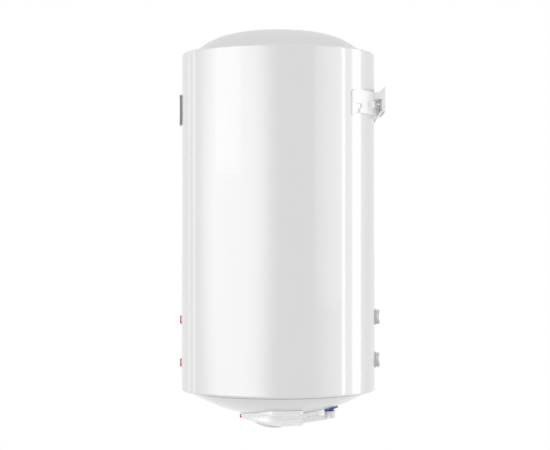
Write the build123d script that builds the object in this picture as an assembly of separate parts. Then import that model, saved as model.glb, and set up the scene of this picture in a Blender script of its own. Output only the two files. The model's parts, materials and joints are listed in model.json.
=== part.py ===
"""Wall-hung storage water heater with an indirect coil, modelled in millimetres.

The object stands as it hangs: +Z is up, +Y points at the wall, and -Y is the user's side.
The origin is the centre of the wall bracket's wall face. Inside this file the pieces are made
about the casing's own axis, with height zero at the casing's bottom rim, and save() moves them.
"""

import math
import os

from build123d import *

# Casing: a rolled sheet-steel drum with a beaded rim at each end
CASING_RADIUS = 225.0
CASING_HEIGHT = 781.0
CASING_WALL = 0.8
RIM_ROLL = 4.7
RIM_LEG = 6.0

# Domed end caps, clipped inside the rim beads
CAP_WALL = 2.5
CAP_SKIRT = 12.0
TOP_DOME_RISE = 52.4
TOP_DOME_SETBACK = 16.3
TOP_LEDGE_WIDTH = 9.3
TOP_DOME_CROWN_SHARE = 0.15
TOP_DOME_STATION_SHARES = (0, 0.25, 0.5, 0.7, 0.85, 1)
BOTTOM_DOME_DEPTH = 60.0
BOTTOM_DOME_EDGE = 2.9
CAP_OPENING_GAP = 4.0

# Clearances between neighbouring pieces
SEAT_GAP = 0.3
RUNNING_GAP = 0.05
OVERRUN = 5.0

# Inner tank
INSULATION = 26.2
TANK_WALL = 2.5
TANK_END_INSET = 40.0
TANK_DOME_DEPTH = 60.0
TANK_KNUCKLE = 35.0

# Wall bracket: one pressing of saddle, two side webs and a wall plate
WALL_GAP = 20.0
BRACKET_SHEET = 2.5
PLATE_HALF_WIDTH = 80.0
PLATE_TOP_DROP = 81.0
PLATE_TALL = 59.0
PLATE_CORNER = 8.0
PLATE_SLOT_SPACING = 100.0
PLATE_SLOT_LENGTH = 22.0
PLATE_SLOT_RADIUS = 5.5
SADDLE_HALF_WIDTH = 155.0
SADDLE_TOP_DROP = 12.0
SADDLE_TALL = 52.0
SADDLE_CORNER = 9.0
SADDLE_TONGUE_DROP = 12.0
SADDLE_TONGUE_HALF_WIDTH = 30.0
WING_TAB_WIDTH = 5.0
WING_TAB_DROP = 6.0
TEE_SLOT_CENTRE = 137.5
TEE_SLOT_LENGTH = 24.0
TEE_SLOT_HEIGHT = 11.0
TEE_SLOT_RISE = 10.5
TEE_STEM_WIDTH = 9.0
WEB_ROOT = 63.0
WEB_BEND_DROP = 10.0
WEB_BEND_FROM_WALL = 12.0
WEB_PLATE_RISE = 6.0
WEB_ROOT_DROP = 9.0
WEB_ROOT_FROM_WALL = 17.5
WEB_DEPTH = 25.0
WINDOW_RISE = 6.0
WINDOW_TALL = 39.8
WINDOW_FROM_WALL = 8.0
WINDOW_DEPTH = 17.0
WINDOW_FOOT = 6.0
WINDOW_SLANT = 13.0
WINDOW_CORNER = 2.5
BEAD_RADIUS = 2.2
BEAD_UP = 10.5
BEAD_DOWN = 4.5
RELIEF_RADIUS = 2.0
RELIEF_FROM_WALL = 6.0
RELIEF_UP = 3.0
POCKET_ACROSS = 91.0
POCKET_UP = 22.0
POCKET_WIDTH = 25.0
POCKET_TALL = 29.0
POCKET_RISE = 2.0
POCKET_CORNER = 9.0
BRACKET_BOLT_RADIUS = 5.0
BRACKET_BOLT_FLATS = 16.0
BRACKET_BOLT_HEAD = 6.4
STANDOFF_RADIUS = 9.5

# Flange assembly under the tank
NECK_RADIUS = 62.0
NECK_WALL = 4.0
NECK_RING_RADIUS = 78.0
NECK_RING_THICK = 6.0
NECK_RING_LOW = -36.0
GASKET_THICK = 3.0
PLATE_THICK = 5.0
STUD_CIRCLE_RADIUS = 70.0
STUD_COUNT = 6
STUD_RADIUS = 4.0
STUD_TAIL = 2.5
NUT_FLATS = 13.0
NUT_THICK = 6.5

# Immersed pieces carried by the flange plate
ELEMENT_TUBE_RADIUS = 4.2
ELEMENT_LENGTH = 300.0
ELEMENT_BEND = 16.0
ELEMENT_OFFSET = 22.0
ELEMENT_TAIL = 9.0
TERMINAL_WIDTH = 6.3
TERMINAL_THICK = 0.8
TERMINAL_LENGTH = 8.0
ANODE_RADIUS = 13.0
ANODE_LENGTH = 280.0
ANODE_OFFSET = 38.0
ANODE_STUD_RADIUS = 4.0
ANODE_STUD_TAIL = 10.0
ANODE_STUD_ROOT = 20.0
ANODE_LIFT = 14.0
POCKET_TUBE_RADIUS = 7.0
POCKET_TUBE_WALL = 1.0
POCKET_TUBE_LENGTH = 260.0
POCKET_TUBE_OFFSET = -38.0
BULB_RADIUS = 3.5
BULB_LENGTH = 120.0

# Water pipes and their fittings
PIPE_ACROSS = 50.0
PIPE_CIRCLE_SHARE = 0.652
PIPE_RADIUS = 9.2
PIPE_WALL = 2.0
PIPE_LOW = -50.0
COLD_PIPE_RISE = 45.0
HOT_PIPE_DROP = 11.0
DIFFUSER_RADIUS = 19.0
DIFFUSER_HEIGHT = 16.0
DIFFUSER_WALL = 1.5
DIFFUSER_SLOT = 8.0
DIFFUSER_SLOT_COUNT = 4
SLEEVE_RADIUS = 11.75
SLEEVE_HIGH = -43.5
SLEEVE_LENGTH = 16.5
SLEEVE_RIM = 0.9
SLEEVE_RIM_HEIGHT = 2.5
SLEEVE_THREAD_RADIUS = 9.32
SLEEVE_THREAD_LENGTH = 8.5
SLEEVE_STOP_RADIUS = 7.5
SLEEVE_STOP_THICK = 1.5
SLEEVE_EDGE = 1.2
RING_RADIUS = 19.5
RING_THICK = 3.3
RING_EDGE = 1.0

# Indirect coil, its stubs through the wall side and their collars
COIL_LOOPS = 3
COIL_TUBE_RADIUS = 11.0
COIL_TUBE_WALL = 2.0
COIL_RADIUS_SHARE = 0.783
COIL_LEAD_BEND = 30.0
STUB_LOW = 71.0
STUB_SPACING = 100.0
STUB_THREAD_RADIUS = 16.6
STUB_SHANK_RADIUS = 16.0
STUB_BORE = 13.0
STUB_REACH = 11.7
STUB_COLLAR_RADIUS = 19.5
STUB_COLLAR_THICK = 1.5
STUB_SEAT = 5.0
STUB_EDGE = 1.5
COIL_GAP_POINTS = 240

# Front sensor pockets, level with the coil, and their plugs
PLUG_BELOW_STUB = 6.5
FRONT_POCKET_RADIUS = 8.0
FRONT_POCKET_WALL = 1.5
FRONT_POCKET_DEPTH = 26.0
PLUG_RADIUS = 9.5
PLUG_REACH = 4.0
PLUG_SHANK = 12.0
PLUG_EDGE = 1.2
WASHER_RADIUS = 10.8
WASHER_THICK = 1.0

# Bare badge on the front
BADGE_HEIGHT = 70.0
BADGE_WIDTH = 64.0
BADGE_DROP = 129.0
BADGE_THICK = 5.0
BADGE_HOLLOW = 1.6
BADGE_CORNER = 10.0

# Bottom cover: a moulded tray against the dome, with a tilted, crowned front
COVER_WALL = 2.5
TRAY_FRONT_RADIUS = 172.0
TRAY_FRONT_REACH = 89.0
TRAY_SIDE_RADIUS = 141.0
TRAY_BACK = 57.0
TRAY_CORNER = 12.0
TRAY_FACE_DEPTH = 61.0
TRAY_FACE_RADIUS = 575.0
BOWL_REACH = 87.0
BOWL_HALF_WIDTH = 78.0
BOWL_FLAT_LOW = -75.2
BOWL_FRONT_BACK = 8.0
BOWL_RAMP_SHARE = 0.4
BOWL_BACK_EDGE = 4.0
FACE_TILT = 9.6
FACE_RADIUS = 380.0
FACE_EDGE = 4.5
DECK_HALF_WIDTH = 97.0
DECK_SHORT = 13.0
DECK_DROP = 5.0
DECK_RAMP_FRONT = 24.0
DECK_RAMP_HIGH = -50.0
DECK_RAMP_LOW = -62.0
DECK_CORNER = 18.0
DECK_NOTCH_RADIUS = 2.6
DECK_NOTCH_FIRST = 70.0
DECK_NOTCH_STEP = 9.0
DECK_NOTCH_COUNT = 3
DUCT_HALF_WIDTH = 20.0
DUCT_SHORT = 5.0
DUCT_END_LOW = -66.0
PIPE_RECESS_RADIUS = 24.0

# Knob and thermostat on the tilted face
KNOB_FORWARD = 22.0
KNOB_SEAT_LOW = -79.3
KNOB_RADIUS = 34.0
KNOB_EDGE = 1.9
KNOB_CROWN = 7.0
KNOB_RECESS = 1.6
KNOB_CLEARANCE = 0.6
KNOB_SCOOP_RADIUS = 30.0
KNOB_SCOOP_DEPTH = 3.0
KNOB_SCOOP_OFFSET = 21.0
KNOB_MARK_RADIUS = 0.9
HUB_RADIUS = 8.0
HUB_LENGTH = 7.0
SPINDLE_RADIUS = 3.0
SPINDLE_LENGTH = 15.0
THERMOSTAT_SIDE = 36.0
THERMOSTAT_DEPTH = 13.0
THERMOSTAT_CORNER = 3.0
CUTOUT_RADIUS = 12.0
CUTOUT_HEIGHT = 7.0
CUTOUT_ACROSS = 42.0
CUTOUT_FORWARD = 28.0
CUTOUT_BUTTON_RADIUS = 3.0
CUTOUT_BUTTON_HEIGHT = 3.0
EARTH_STUD_RADIUS = 2.5
EARTH_STUD_LENGTH = 12.0
EARTH_NUT_FLATS = 8.0
EARTH_NUT_THICK = 4.0
CAPILLARY_RADIUS = 1.0
CAPILLARY_BEND = 6.0

# Indicator, wiring entry and fixings of the cover
LENS_WIDTH = 12.0
LENS_HEIGHT = 9.0
LENS_DEPTH = 5.0
LENS_PROUD = 0.6
LENS_MIDDLE = -59.6
LAMP_RADIUS = 2.5
LAMP_LENGTH = 12.0
LAMP_RISE = 1.2
GLAND_RADIUS = 7.5
GLAND_BORE = 4.0
GLAND_FLANGE_RADIUS = 9.5
GLAND_FLANGE_THICK = 2.0
GLAND_LENGTH = 16.0
GLAND_MIDDLE = -55.0
BLOCK_LENGTH = 40.0
BLOCK_WIDTH = 16.0
BLOCK_HEIGHT = 12.0
BLOCK_BACK = 49.0
BLOCK_POLES = 3
BLOCK_PIT_RADIUS = 3.0
BLOCK_PIT_DEPTH = 5.0
SCREW_RADIUS = 2.0
SCREW_LENGTH = 9.0
SCREW_HEAD_RADIUS = 4.0
SCREW_HEAD_THICK = 2.4
SCREW_ACROSS = 112.0
SCREW_BACK = 3.0

# Places that follow from the sizes above
AXIS_TO_WALL = CASING_RADIUS + WALL_GAP
PLATE_HIGH = CASING_HEIGHT - PLATE_TOP_DROP
PLATE_LOW = PLATE_HIGH - PLATE_TALL
PLATE_CENTRE = (PLATE_LOW + PLATE_HIGH) / 2
SADDLE_HIGH = PLATE_HIGH - SADDLE_TOP_DROP
SADDLE_LOW = SADDLE_HIGH - SADDLE_TALL
SADDLE_RADIUS = CASING_RADIUS + SEAT_GAP
SADDLE_OUTER = SADDLE_RADIUS + BRACKET_SHEET
WEB_ROOT_LOW = SADDLE_LOW - WEB_ROOT_DROP
WINDOW_LOW = WEB_ROOT_LOW + WINDOW_RISE
POCKET_HEIGHT = SADDLE_LOW + POCKET_UP
POCKET_ANGLE = math.degrees(math.asin(POCKET_ACROSS / SADDLE_OUTER))
BADGE_CENTRE = CASING_HEIGHT - BADGE_DROP
SKIRT_RADIUS = CASING_RADIUS - 2 * RIM_ROLL - SEAT_GAP
TOP_DOME_EDGE = SKIRT_RADIUS - TOP_DOME_SETBACK
TOP_DOME_SHOULDER = SKIRT_RADIUS - TOP_LEDGE_WIDTH
BOTTOM_DOME_TALL = BOTTOM_DOME_DEPTH + BOTTOM_DOME_EDGE
BOTTOM_DOME_RADIUS = (SKIRT_RADIUS**2 + BOTTOM_DOME_TALL**2) / (2 * BOTTOM_DOME_TALL)
BOTTOM_DOME_CENTRE = BOTTOM_DOME_RADIUS - BOTTOM_DOME_DEPTH
CAP_OPENING_RADIUS = NECK_RING_RADIUS + CAP_OPENING_GAP
TANK_RADIUS = CASING_RADIUS - CASING_WALL - INSULATION
TANK_LOW = TANK_END_INSET
TANK_HIGH = CASING_HEIGHT - TANK_END_INSET
TANK_CROWN_RADIUS = (TANK_RADIUS**2 + TANK_DOME_DEPTH**2) / (2 * TANK_DOME_DEPTH)
TANK_BOTTOM = TANK_LOW - TANK_DOME_DEPTH
GASKET_LOW = NECK_RING_LOW - GASKET_THICK
FLANGE_LOW = GASKET_LOW - PLATE_THICK
STUB_HEIGHTS = {"lower": STUB_LOW, "upper": STUB_LOW + STUB_SPACING}
COIL_RADIUS = COIL_RADIUS_SHARE * TANK_RADIUS
PIPE_SIDES = {"cold": 1, "hot": -1}
PIPE_BACK = math.sqrt((PIPE_CIRCLE_SHARE * TANK_RADIUS) ** 2 - PIPE_ACROSS**2)
DECK_BACK = PIPE_BACK - DECK_SHORT
DUCT_BACK = PIPE_BACK - DUCT_SHORT
FACE = Plane(
    origin=(0, -KNOB_FORWARD, KNOB_SEAT_LOW),
    x_dir=(1, 0, 0),
    z_dir=(0, -math.sin(math.radians(FACE_TILT)), -math.cos(math.radians(FACE_TILT))),
)


def save(name, shape):
    """Move a finished piece into the object's frame and write its file."""
    placed = Pos(0, -AXIS_TO_WALL, -PLATE_CENTRE) * shape
    export_step(placed, f"parts/{name}.step")


def area(low_x, high_x, low_y, high_y):
    """A flat rectangle between two corners."""
    middle = Pos((low_x + high_x) / 2, (low_y + high_y) / 2)
    return middle * Rectangle(high_x - low_x, high_y - low_y)


def rounded_area(low_x, high_x, low_y, high_y, corner):
    """A flat rectangle with round corners."""
    middle = Pos((low_x + high_x) / 2, (low_y + high_y) / 2)
    return middle * RectangleRounded(high_x - low_x, high_y - low_y, corner)


def block(low, high):
    """A box between two opposite corners."""
    middle = [(a + b) / 2 for a, b in zip(low, high)]
    return Pos(*middle) * Box(*[b - a for a, b in zip(low, high)])


def turned(outline):
    """Revolve a radius-height outline about the heater's axis."""
    return revolve(Plane.XZ * outline, Axis.Z)


def rod(radius, low, high):
    """An upright round bar between two heights."""
    return Pos(0, 0, low) * extrude(Circle(radius), high - low)


def tube(outer, inner, low, high):
    """An upright tube between two heights."""
    return Pos(0, 0, low) * extrude(Circle(outer) - Circle(inner), high - low)


def prism(flats, low, high):
    """An upright hexagon bar, as wide across its flats as given."""
    hexagon = RegularPolygon(flats / 2, 6, major_radius=False)
    return Pos(0, 0, low) * extrude(hexagon, high - low)


def toward_wall(height):
    """Turn a piece made upright so that it points at the wall, at this height."""
    return Pos(0, 0, height) * Rot(X=-90)


def toward_user(height):
    """Turn a piece made upright so that it points at the user, at this height."""
    return Pos(0, 0, height) * Rot(X=90)


def around(count, radius, piece):
    """Copies of a piece spread evenly on a circle about the axis."""
    return [Rot(Z=place * 360 / count) * Pos(radius, 0, 0) * piece for place in range(count)]


def joined(pieces):
    """Several pieces as one part."""
    return Part() + list(pieces)


def top_dome_height(radius):
    """Height of the top dome's outside at a radius: flat in the middle, steep at the shoulder."""
    share = radius / TOP_DOME_EDGE
    drop_share = TOP_DOME_CROWN_SHARE * share**2 + (1 - TOP_DOME_CROWN_SHARE) * share**4
    return CASING_HEIGHT + TOP_DOME_RISE * (1 - drop_share)


def bottom_dome_height(radius, inset=0):
    """Height of the bottom dome's outside at a radius, or of a surface this far inside it."""
    return BOTTOM_DOME_CENTRE - math.sqrt((BOTTOM_DOME_RADIUS - inset) ** 2 - radius**2)


def top_cap_region(inset):
    """Half outline of all that lies under the top cap, drawn this far inside its outside."""
    floor = top_dome_height(TOP_DOME_SHOULDER) - inset
    edge = SKIRT_RADIUS - inset
    low = top_dome_height(TOP_DOME_SHOULDER) - CAP_SKIRT
    stations = [TOP_DOME_SHOULDER * share for share in TOP_DOME_STATION_SHARES]
    crown = Spline([(radius, top_dome_height(radius) - inset) for radius in stations])
    sides = Polyline((TOP_DOME_SHOULDER, floor), (edge, floor), (edge, low), (0, low), crown @ 0)
    return make_face(Curve() + [crown, sides])


def bottom_cap_region(inset):
    """Half outline of all that lies over the bottom cap, drawn this far inside its outside."""
    edge = SKIRT_RADIUS - inset
    high = bottom_dome_height(SKIRT_RADIUS) + CAP_SKIRT
    apex = (0, bottom_dome_height(0, inset))
    middle = (edge / 2, bottom_dome_height(edge / 2, inset))
    end = (edge, bottom_dome_height(edge, inset))
    dome = ThreePointArc(apex, middle, end)
    sides = Polyline(end, (edge, high), (0, high), apex)
    return make_face(Curve() + [dome, sides])


def dome_block(inset):
    """Solid of all that lies over the bottom cap's outside, for trimming what seats on it."""
    return turned(bottom_cap_region(inset))


def tank_region(inset):
    """Half outline of the tank, drawn this far inside its outside."""
    radius = TANK_RADIUS - inset
    crown = TANK_CROWN_RADIUS - inset
    low_centre = TANK_BOTTOM + TANK_CROWN_RADIUS
    high_centre = TANK_HIGH + TANK_DOME_DEPTH - TANK_CROWN_RADIUS

    def fall(at):
        return math.sqrt(crown**2 - at**2)

    low_end = (radius, low_centre - fall(radius))
    high_end = (radius, high_centre + fall(radius))
    bottom = (0, low_centre - crown)
    top = (0, high_centre + crown)
    half = radius / 2
    low_arc = ThreePointArc(bottom, (half, low_centre - fall(half)), low_end)
    high_arc = ThreePointArc(high_end, (half, high_centre + fall(half)), top)
    outline = make_face(Curve() + [low_arc, Line(low_end, high_end), high_arc, Line(top, bottom)])
    corners = [corner for corner in outline.vertices() if corner.X > radius / 2]
    return fillet(corners, TANK_KNUCKLE - inset)


def at_pipe(side):
    """Place of one water pipe: the cold one on the +X side, the hot one on the other."""
    return Pos(PIPE_SIDES[side] * PIPE_ACROSS, PIPE_BACK, 0)


def at_pocket(side):
    """Turn a piece made toward the wall onto one of the saddle's bolt pockets."""
    return Rot(Z=side * POCKET_ANGLE)


def build_casing():
    """Drum with a beaded rim at each end, open for the stubs, the plugs and the bracket bolts."""
    inner = CASING_RADIUS - CASING_WALL
    leg = CASING_RADIUS - 2 * RIM_ROLL
    bead_centre = CASING_RADIUS - RIM_ROLL
    outline = area(inner, CASING_RADIUS, RIM_ROLL, CASING_HEIGHT - RIM_ROLL)
    bead = Circle(RIM_ROLL) - Circle(RIM_ROLL - CASING_WALL)
    upper_half = area(-RIM_ROLL, RIM_ROLL, 0, RIM_ROLL)
    lower_half = area(-RIM_ROLL, RIM_ROLL, -RIM_ROLL, 0)
    outline += Pos(bead_centre, CASING_HEIGHT - RIM_ROLL) * (bead & upper_half)
    outline += Pos(bead_centre, RIM_ROLL) * (bead & lower_half)
    leg_high = CASING_HEIGHT - RIM_ROLL
    outline += area(leg, leg + CASING_WALL, leg_high - RIM_LEG, leg_high)
    outline += area(leg, leg + CASING_WALL, RIM_ROLL, RIM_ROLL + RIM_LEG)
    casing = turned(outline)
    stub_hole = rod(STUB_SHANK_RADIUS + SEAT_GAP, 0, AXIS_TO_WALL)
    pocket_hole = rod(FRONT_POCKET_RADIUS + SEAT_GAP, 0, AXIS_TO_WALL)
    for height in STUB_HEIGHTS.values():
        casing -= toward_wall(height) * stub_hole
        casing -= toward_user(height - PLUG_BELOW_STUB) * pocket_hole
    for side in (-1, 1):
        hole = rod(BRACKET_BOLT_RADIUS + SEAT_GAP, 0, AXIS_TO_WALL)
        casing -= at_pocket(side) * toward_wall(POCKET_HEIGHT) * hole
    save("outer_casing", casing)


def build_caps():
    """Moulded end domes; the lower one is open for the flange and the two water pipes."""
    save("top_cap", turned(top_cap_region(0)) - turned(top_cap_region(CAP_WALL)))
    cap = dome_block(0) - dome_block(CAP_WALL)
    low = -BOTTOM_DOME_DEPTH - OVERRUN
    cap -= rod(CAP_OPENING_RADIUS, low, 0)
    for side in PIPE_SIDES:
        cap -= at_pipe(side) * rod(PIPE_RADIUS + SEAT_GAP, low, 0)
    for side in (-1, 1):
        cap -= Pos(side * SCREW_ACROSS, SCREW_BACK, 0) * rod(SCREW_RADIUS + SEAT_GAP, low, 0)
    save("bottom_cap", cap)


def foam_outline():
    """Half outline of the foamed space between the casing and the caps."""
    inset = CAP_WALL + SEAT_GAP
    drum = CASING_RADIUS - CASING_WALL - SEAT_GAP
    top_clear = min(
        top_dome_height(TOP_DOME_SHOULDER) - CAP_SKIRT,
        CASING_HEIGHT - RIM_ROLL - RIM_LEG,
    )
    bottom_clear = max(
        bottom_dome_height(SKIRT_RADIUS) + CAP_SKIRT,
        RIM_ROLL + RIM_LEG,
    )
    middle = area(0, drum, bottom_clear + SEAT_GAP, top_clear - SEAT_GAP)
    bridge_low = area(0, SKIRT_RADIUS - inset, bottom_clear - SEAT_GAP, bottom_clear + 2 * SEAT_GAP)
    bridge_high = area(0, SKIRT_RADIUS - inset, top_clear - 2 * SEAT_GAP, top_clear + SEAT_GAP)
    return middle + bridge_low + bridge_high + bottom_cap_region(inset) + top_cap_region(inset)


def build_foam():
    """Foam jacket that fills the space around the tank, with the passages through it."""
    foam = turned(foam_outline()) - turned(tank_region(-SEAT_GAP))
    low = -BOTTOM_DOME_DEPTH - OVERRUN
    foam -= rod(NECK_RING_RADIUS + SEAT_GAP, low, TANK_LOW)
    for side in PIPE_SIDES:
        foam -= at_pipe(side) * rod(PIPE_RADIUS + SEAT_GAP, low, TANK_HIGH)
    stub_hole = rod(STUB_SHANK_RADIUS + SEAT_GAP, 0, AXIS_TO_WALL)
    pocket_hole = rod(FRONT_POCKET_RADIUS + SEAT_GAP, 0, AXIS_TO_WALL)
    for height in STUB_HEIGHTS.values():
        foam -= toward_wall(height) * stub_hole
        foam -= toward_user(height - PLUG_BELOW_STUB) * pocket_hole
    for side in (-1, 1):
        hole = rod(STANDOFF_RADIUS + SEAT_GAP, 0, AXIS_TO_WALL)
        foam -= at_pocket(side) * toward_wall(POCKET_HEIGHT) * hole
        screw_top = bottom_dome_height(SCREW_ACROSS) + SCREW_LENGTH
        foam -= Pos(side * SCREW_ACROSS, SCREW_BACK, 0) * rod(SCREW_RADIUS + SEAT_GAP, low, screw_top)
    save("insulation_foam", foam)


def build_tank():
    """Enamelled tank with dished ends and the holes of its fittings."""
    tank = turned(tank_region(0)) - turned(tank_region(TANK_WALL))
    tank -= rod(NECK_RADIUS - NECK_WALL, TANK_BOTTOM - OVERRUN, TANK_LOW)
    for side in PIPE_SIDES:
        tank -= at_pipe(side) * rod(PIPE_RADIUS + SEAT_GAP, TANK_BOTTOM - OVERRUN, TANK_LOW)
    for height in STUB_HEIGHTS.values():
        tank -= toward_wall(height) * rod(COIL_TUBE_RADIUS + SEAT_GAP, COIL_RADIUS, AXIS_TO_WALL)
        hole = rod(FRONT_POCKET_RADIUS + SEAT_GAP, COIL_RADIUS, AXIS_TO_WALL)
        tank -= toward_user(height - PLUG_BELOW_STUB) * hole
    save("inner_tank", tank)


def build_flange():
    """Welded neck, its studs, the gasket, the flange plate and the nuts."""
    tank_outside = turned(tank_region(0))
    neck = tube(NECK_RADIUS, NECK_RADIUS - NECK_WALL, NECK_RING_LOW, TANK_LOW)
    ring_high = NECK_RING_LOW + NECK_RING_THICK
    neck += tube(NECK_RING_RADIUS, NECK_RADIUS - NECK_WALL, NECK_RING_LOW, ring_high)
    neck -= tank_outside
    save("flange_neck", neck)

    stud_low = FLANGE_LOW - NUT_THICK - STUD_TAIL
    studs = around(STUD_COUNT, STUD_CIRCLE_RADIUS, rod(STUD_RADIUS, stud_low, NECK_RING_LOW))
    save("flange_studs", joined(studs))

    stud_hole = rod(STUD_RADIUS + SEAT_GAP, FLANGE_LOW - OVERRUN, NECK_RING_LOW + OVERRUN)
    stud_holes = joined(around(STUD_COUNT, STUD_CIRCLE_RADIUS, stud_hole))
    gasket = tube(NECK_RING_RADIUS, NECK_RADIUS - NECK_WALL, GASKET_LOW, NECK_RING_LOW)
    save("flange_gasket", gasket - stud_holes)

    plate = rod(NECK_RING_RADIUS, FLANGE_LOW, GASKET_LOW) - stud_holes
    hole_low = FLANGE_LOW - OVERRUN
    hole_high = GASKET_LOW + OVERRUN
    for place in element_places():
        plate -= place * rod(ELEMENT_TUBE_RADIUS + SEAT_GAP, hole_low, hole_high)
    plate -= Pos(0, ANODE_OFFSET, 0) * rod(ANODE_STUD_RADIUS + SEAT_GAP, hole_low, hole_high)
    plate -= Pos(0, POCKET_TUBE_OFFSET, 0) * rod(POCKET_TUBE_RADIUS + SEAT_GAP, hole_low, hole_high)
    save("flange_plate", plate)

    nut = prism(NUT_FLATS, FLANGE_LOW - NUT_THICK, FLANGE_LOW)
    nut -= rod(STUD_RADIUS + SEAT_GAP, FLANGE_LOW - NUT_THICK - OVERRUN, FLANGE_LOW + OVERRUN)
    save("flange_nuts", joined(around(STUD_COUNT, STUD_CIRCLE_RADIUS, nut)))


def element_places():
    """Where the four legs of the two hairpins pass the flange plate."""
    return [
        Pos(across, back, 0)
        for across in (-ELEMENT_OFFSET, ELEMENT_OFFSET)
        for back in (-ELEMENT_BEND, ELEMENT_BEND)
    ]


def build_elements():
    """Two hairpin heating elements and their blade terminals."""
    low = FLANGE_LOW - ELEMENT_TAIL
    high = FLANGE_LOW + ELEMENT_LENGTH
    legs = [
        Line((0, -ELEMENT_BEND, low), (0, -ELEMENT_BEND, high)),
        ThreePointArc((0, -ELEMENT_BEND, high), (0, 0, high + ELEMENT_BEND), (0, ELEMENT_BEND, high)),
        Line((0, ELEMENT_BEND, high), (0, ELEMENT_BEND, low)),
    ]
    path = Wire(legs)
    section = Plane(origin=(0, -ELEMENT_BEND, low), z_dir=(0, 0, 1)) * Circle(ELEMENT_TUBE_RADIUS)
    hairpin = sweep(section, path=path)
    names = {"heating_element_left": -ELEMENT_OFFSET, "heating_element_right": ELEMENT_OFFSET}
    for name, across in names.items():
        save(name, Pos(across, 0, 0) * hairpin)
    half_thick = TERMINAL_THICK / 2
    half_wide = TERMINAL_WIDTH / 2
    blade = block((-half_thick, -half_wide, low - TERMINAL_LENGTH), (half_thick, half_wide, low))
    save("element_terminals", joined([place * blade for place in element_places()]))


def build_anode():
    """Magnesium rod and the stud and nut that hold it on the flange plate."""
    at = Pos(0, ANODE_OFFSET, 0)
    rod_low = GASKET_LOW + ANODE_LIFT
    anode = rod(ANODE_RADIUS, rod_low, rod_low + ANODE_LENGTH)
    anode -= rod(ANODE_STUD_RADIUS + SEAT_GAP, rod_low - OVERRUN, rod_low + ANODE_STUD_ROOT + SEAT_GAP)
    save("magnesium_anode", at * anode)
    stud = rod(ANODE_STUD_RADIUS, FLANGE_LOW - ANODE_STUD_TAIL, rod_low + ANODE_STUD_ROOT)
    stud += prism(NUT_FLATS, FLANGE_LOW - NUT_THICK, FLANGE_LOW)
    stud += prism(NUT_FLATS, GASKET_LOW, rod_low - SEAT_GAP)
    save("anode_stud", at * stud)


def build_sensor():
    """Closed pocket tube through the flange, the thermostat's bulb in it and its capillary."""
    at = Pos(0, POCKET_TUBE_OFFSET, 0)
    pocket_high = GASKET_LOW + POCKET_TUBE_LENGTH
    pocket = rod(POCKET_TUBE_RADIUS, FLANGE_LOW, pocket_high)
    bore = POCKET_TUBE_RADIUS - POCKET_TUBE_WALL
    pocket -= rod(bore, FLANGE_LOW - OVERRUN, pocket_high - POCKET_TUBE_WALL)
    save("thermostat_pocket", at * pocket)
    bulb_high = pocket_high - POCKET_TUBE_WALL - SEAT_GAP
    bulb = rod(BULB_RADIUS, bulb_high - BULB_LENGTH, bulb_high)
    save("thermostat_bulb", at * bulb)

    start = (0, POCKET_TUBE_OFFSET, bulb_high - BULB_LENGTH)
    body_depth = recess_floor() - COVER_WALL - THERMOSTAT_DEPTH - 3 * SEAT_GAP
    body_top = FACE.from_local_coords((0, 0, body_depth))
    turn = (0, POCKET_TUBE_OFFSET, (body_top.Z + FLANGE_LOW) / 2)
    end = (body_top.X, body_top.Y, body_top.Z)
    route = FilletPolyline(start, turn, end, radius=CAPILLARY_BEND)
    section = Plane(origin=start, z_dir=route % 0) * Circle(CAPILLARY_RADIUS)
    save("thermostat_capillary", sweep(section, path=route))


def ring_place(side):
    """Frame on the bottom dome where a water pipe comes out, pointing out of the dome."""
    across = PIPE_SIDES[side] * PIPE_ACROSS
    reach = math.hypot(PIPE_ACROSS, PIPE_BACK)
    spot = Vector(across, PIPE_BACK, bottom_dome_height(reach))
    out = spot - Vector(0, 0, BOTTOM_DOME_CENTRE)
    return Plane(origin=spot, z_dir=out)


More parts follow.
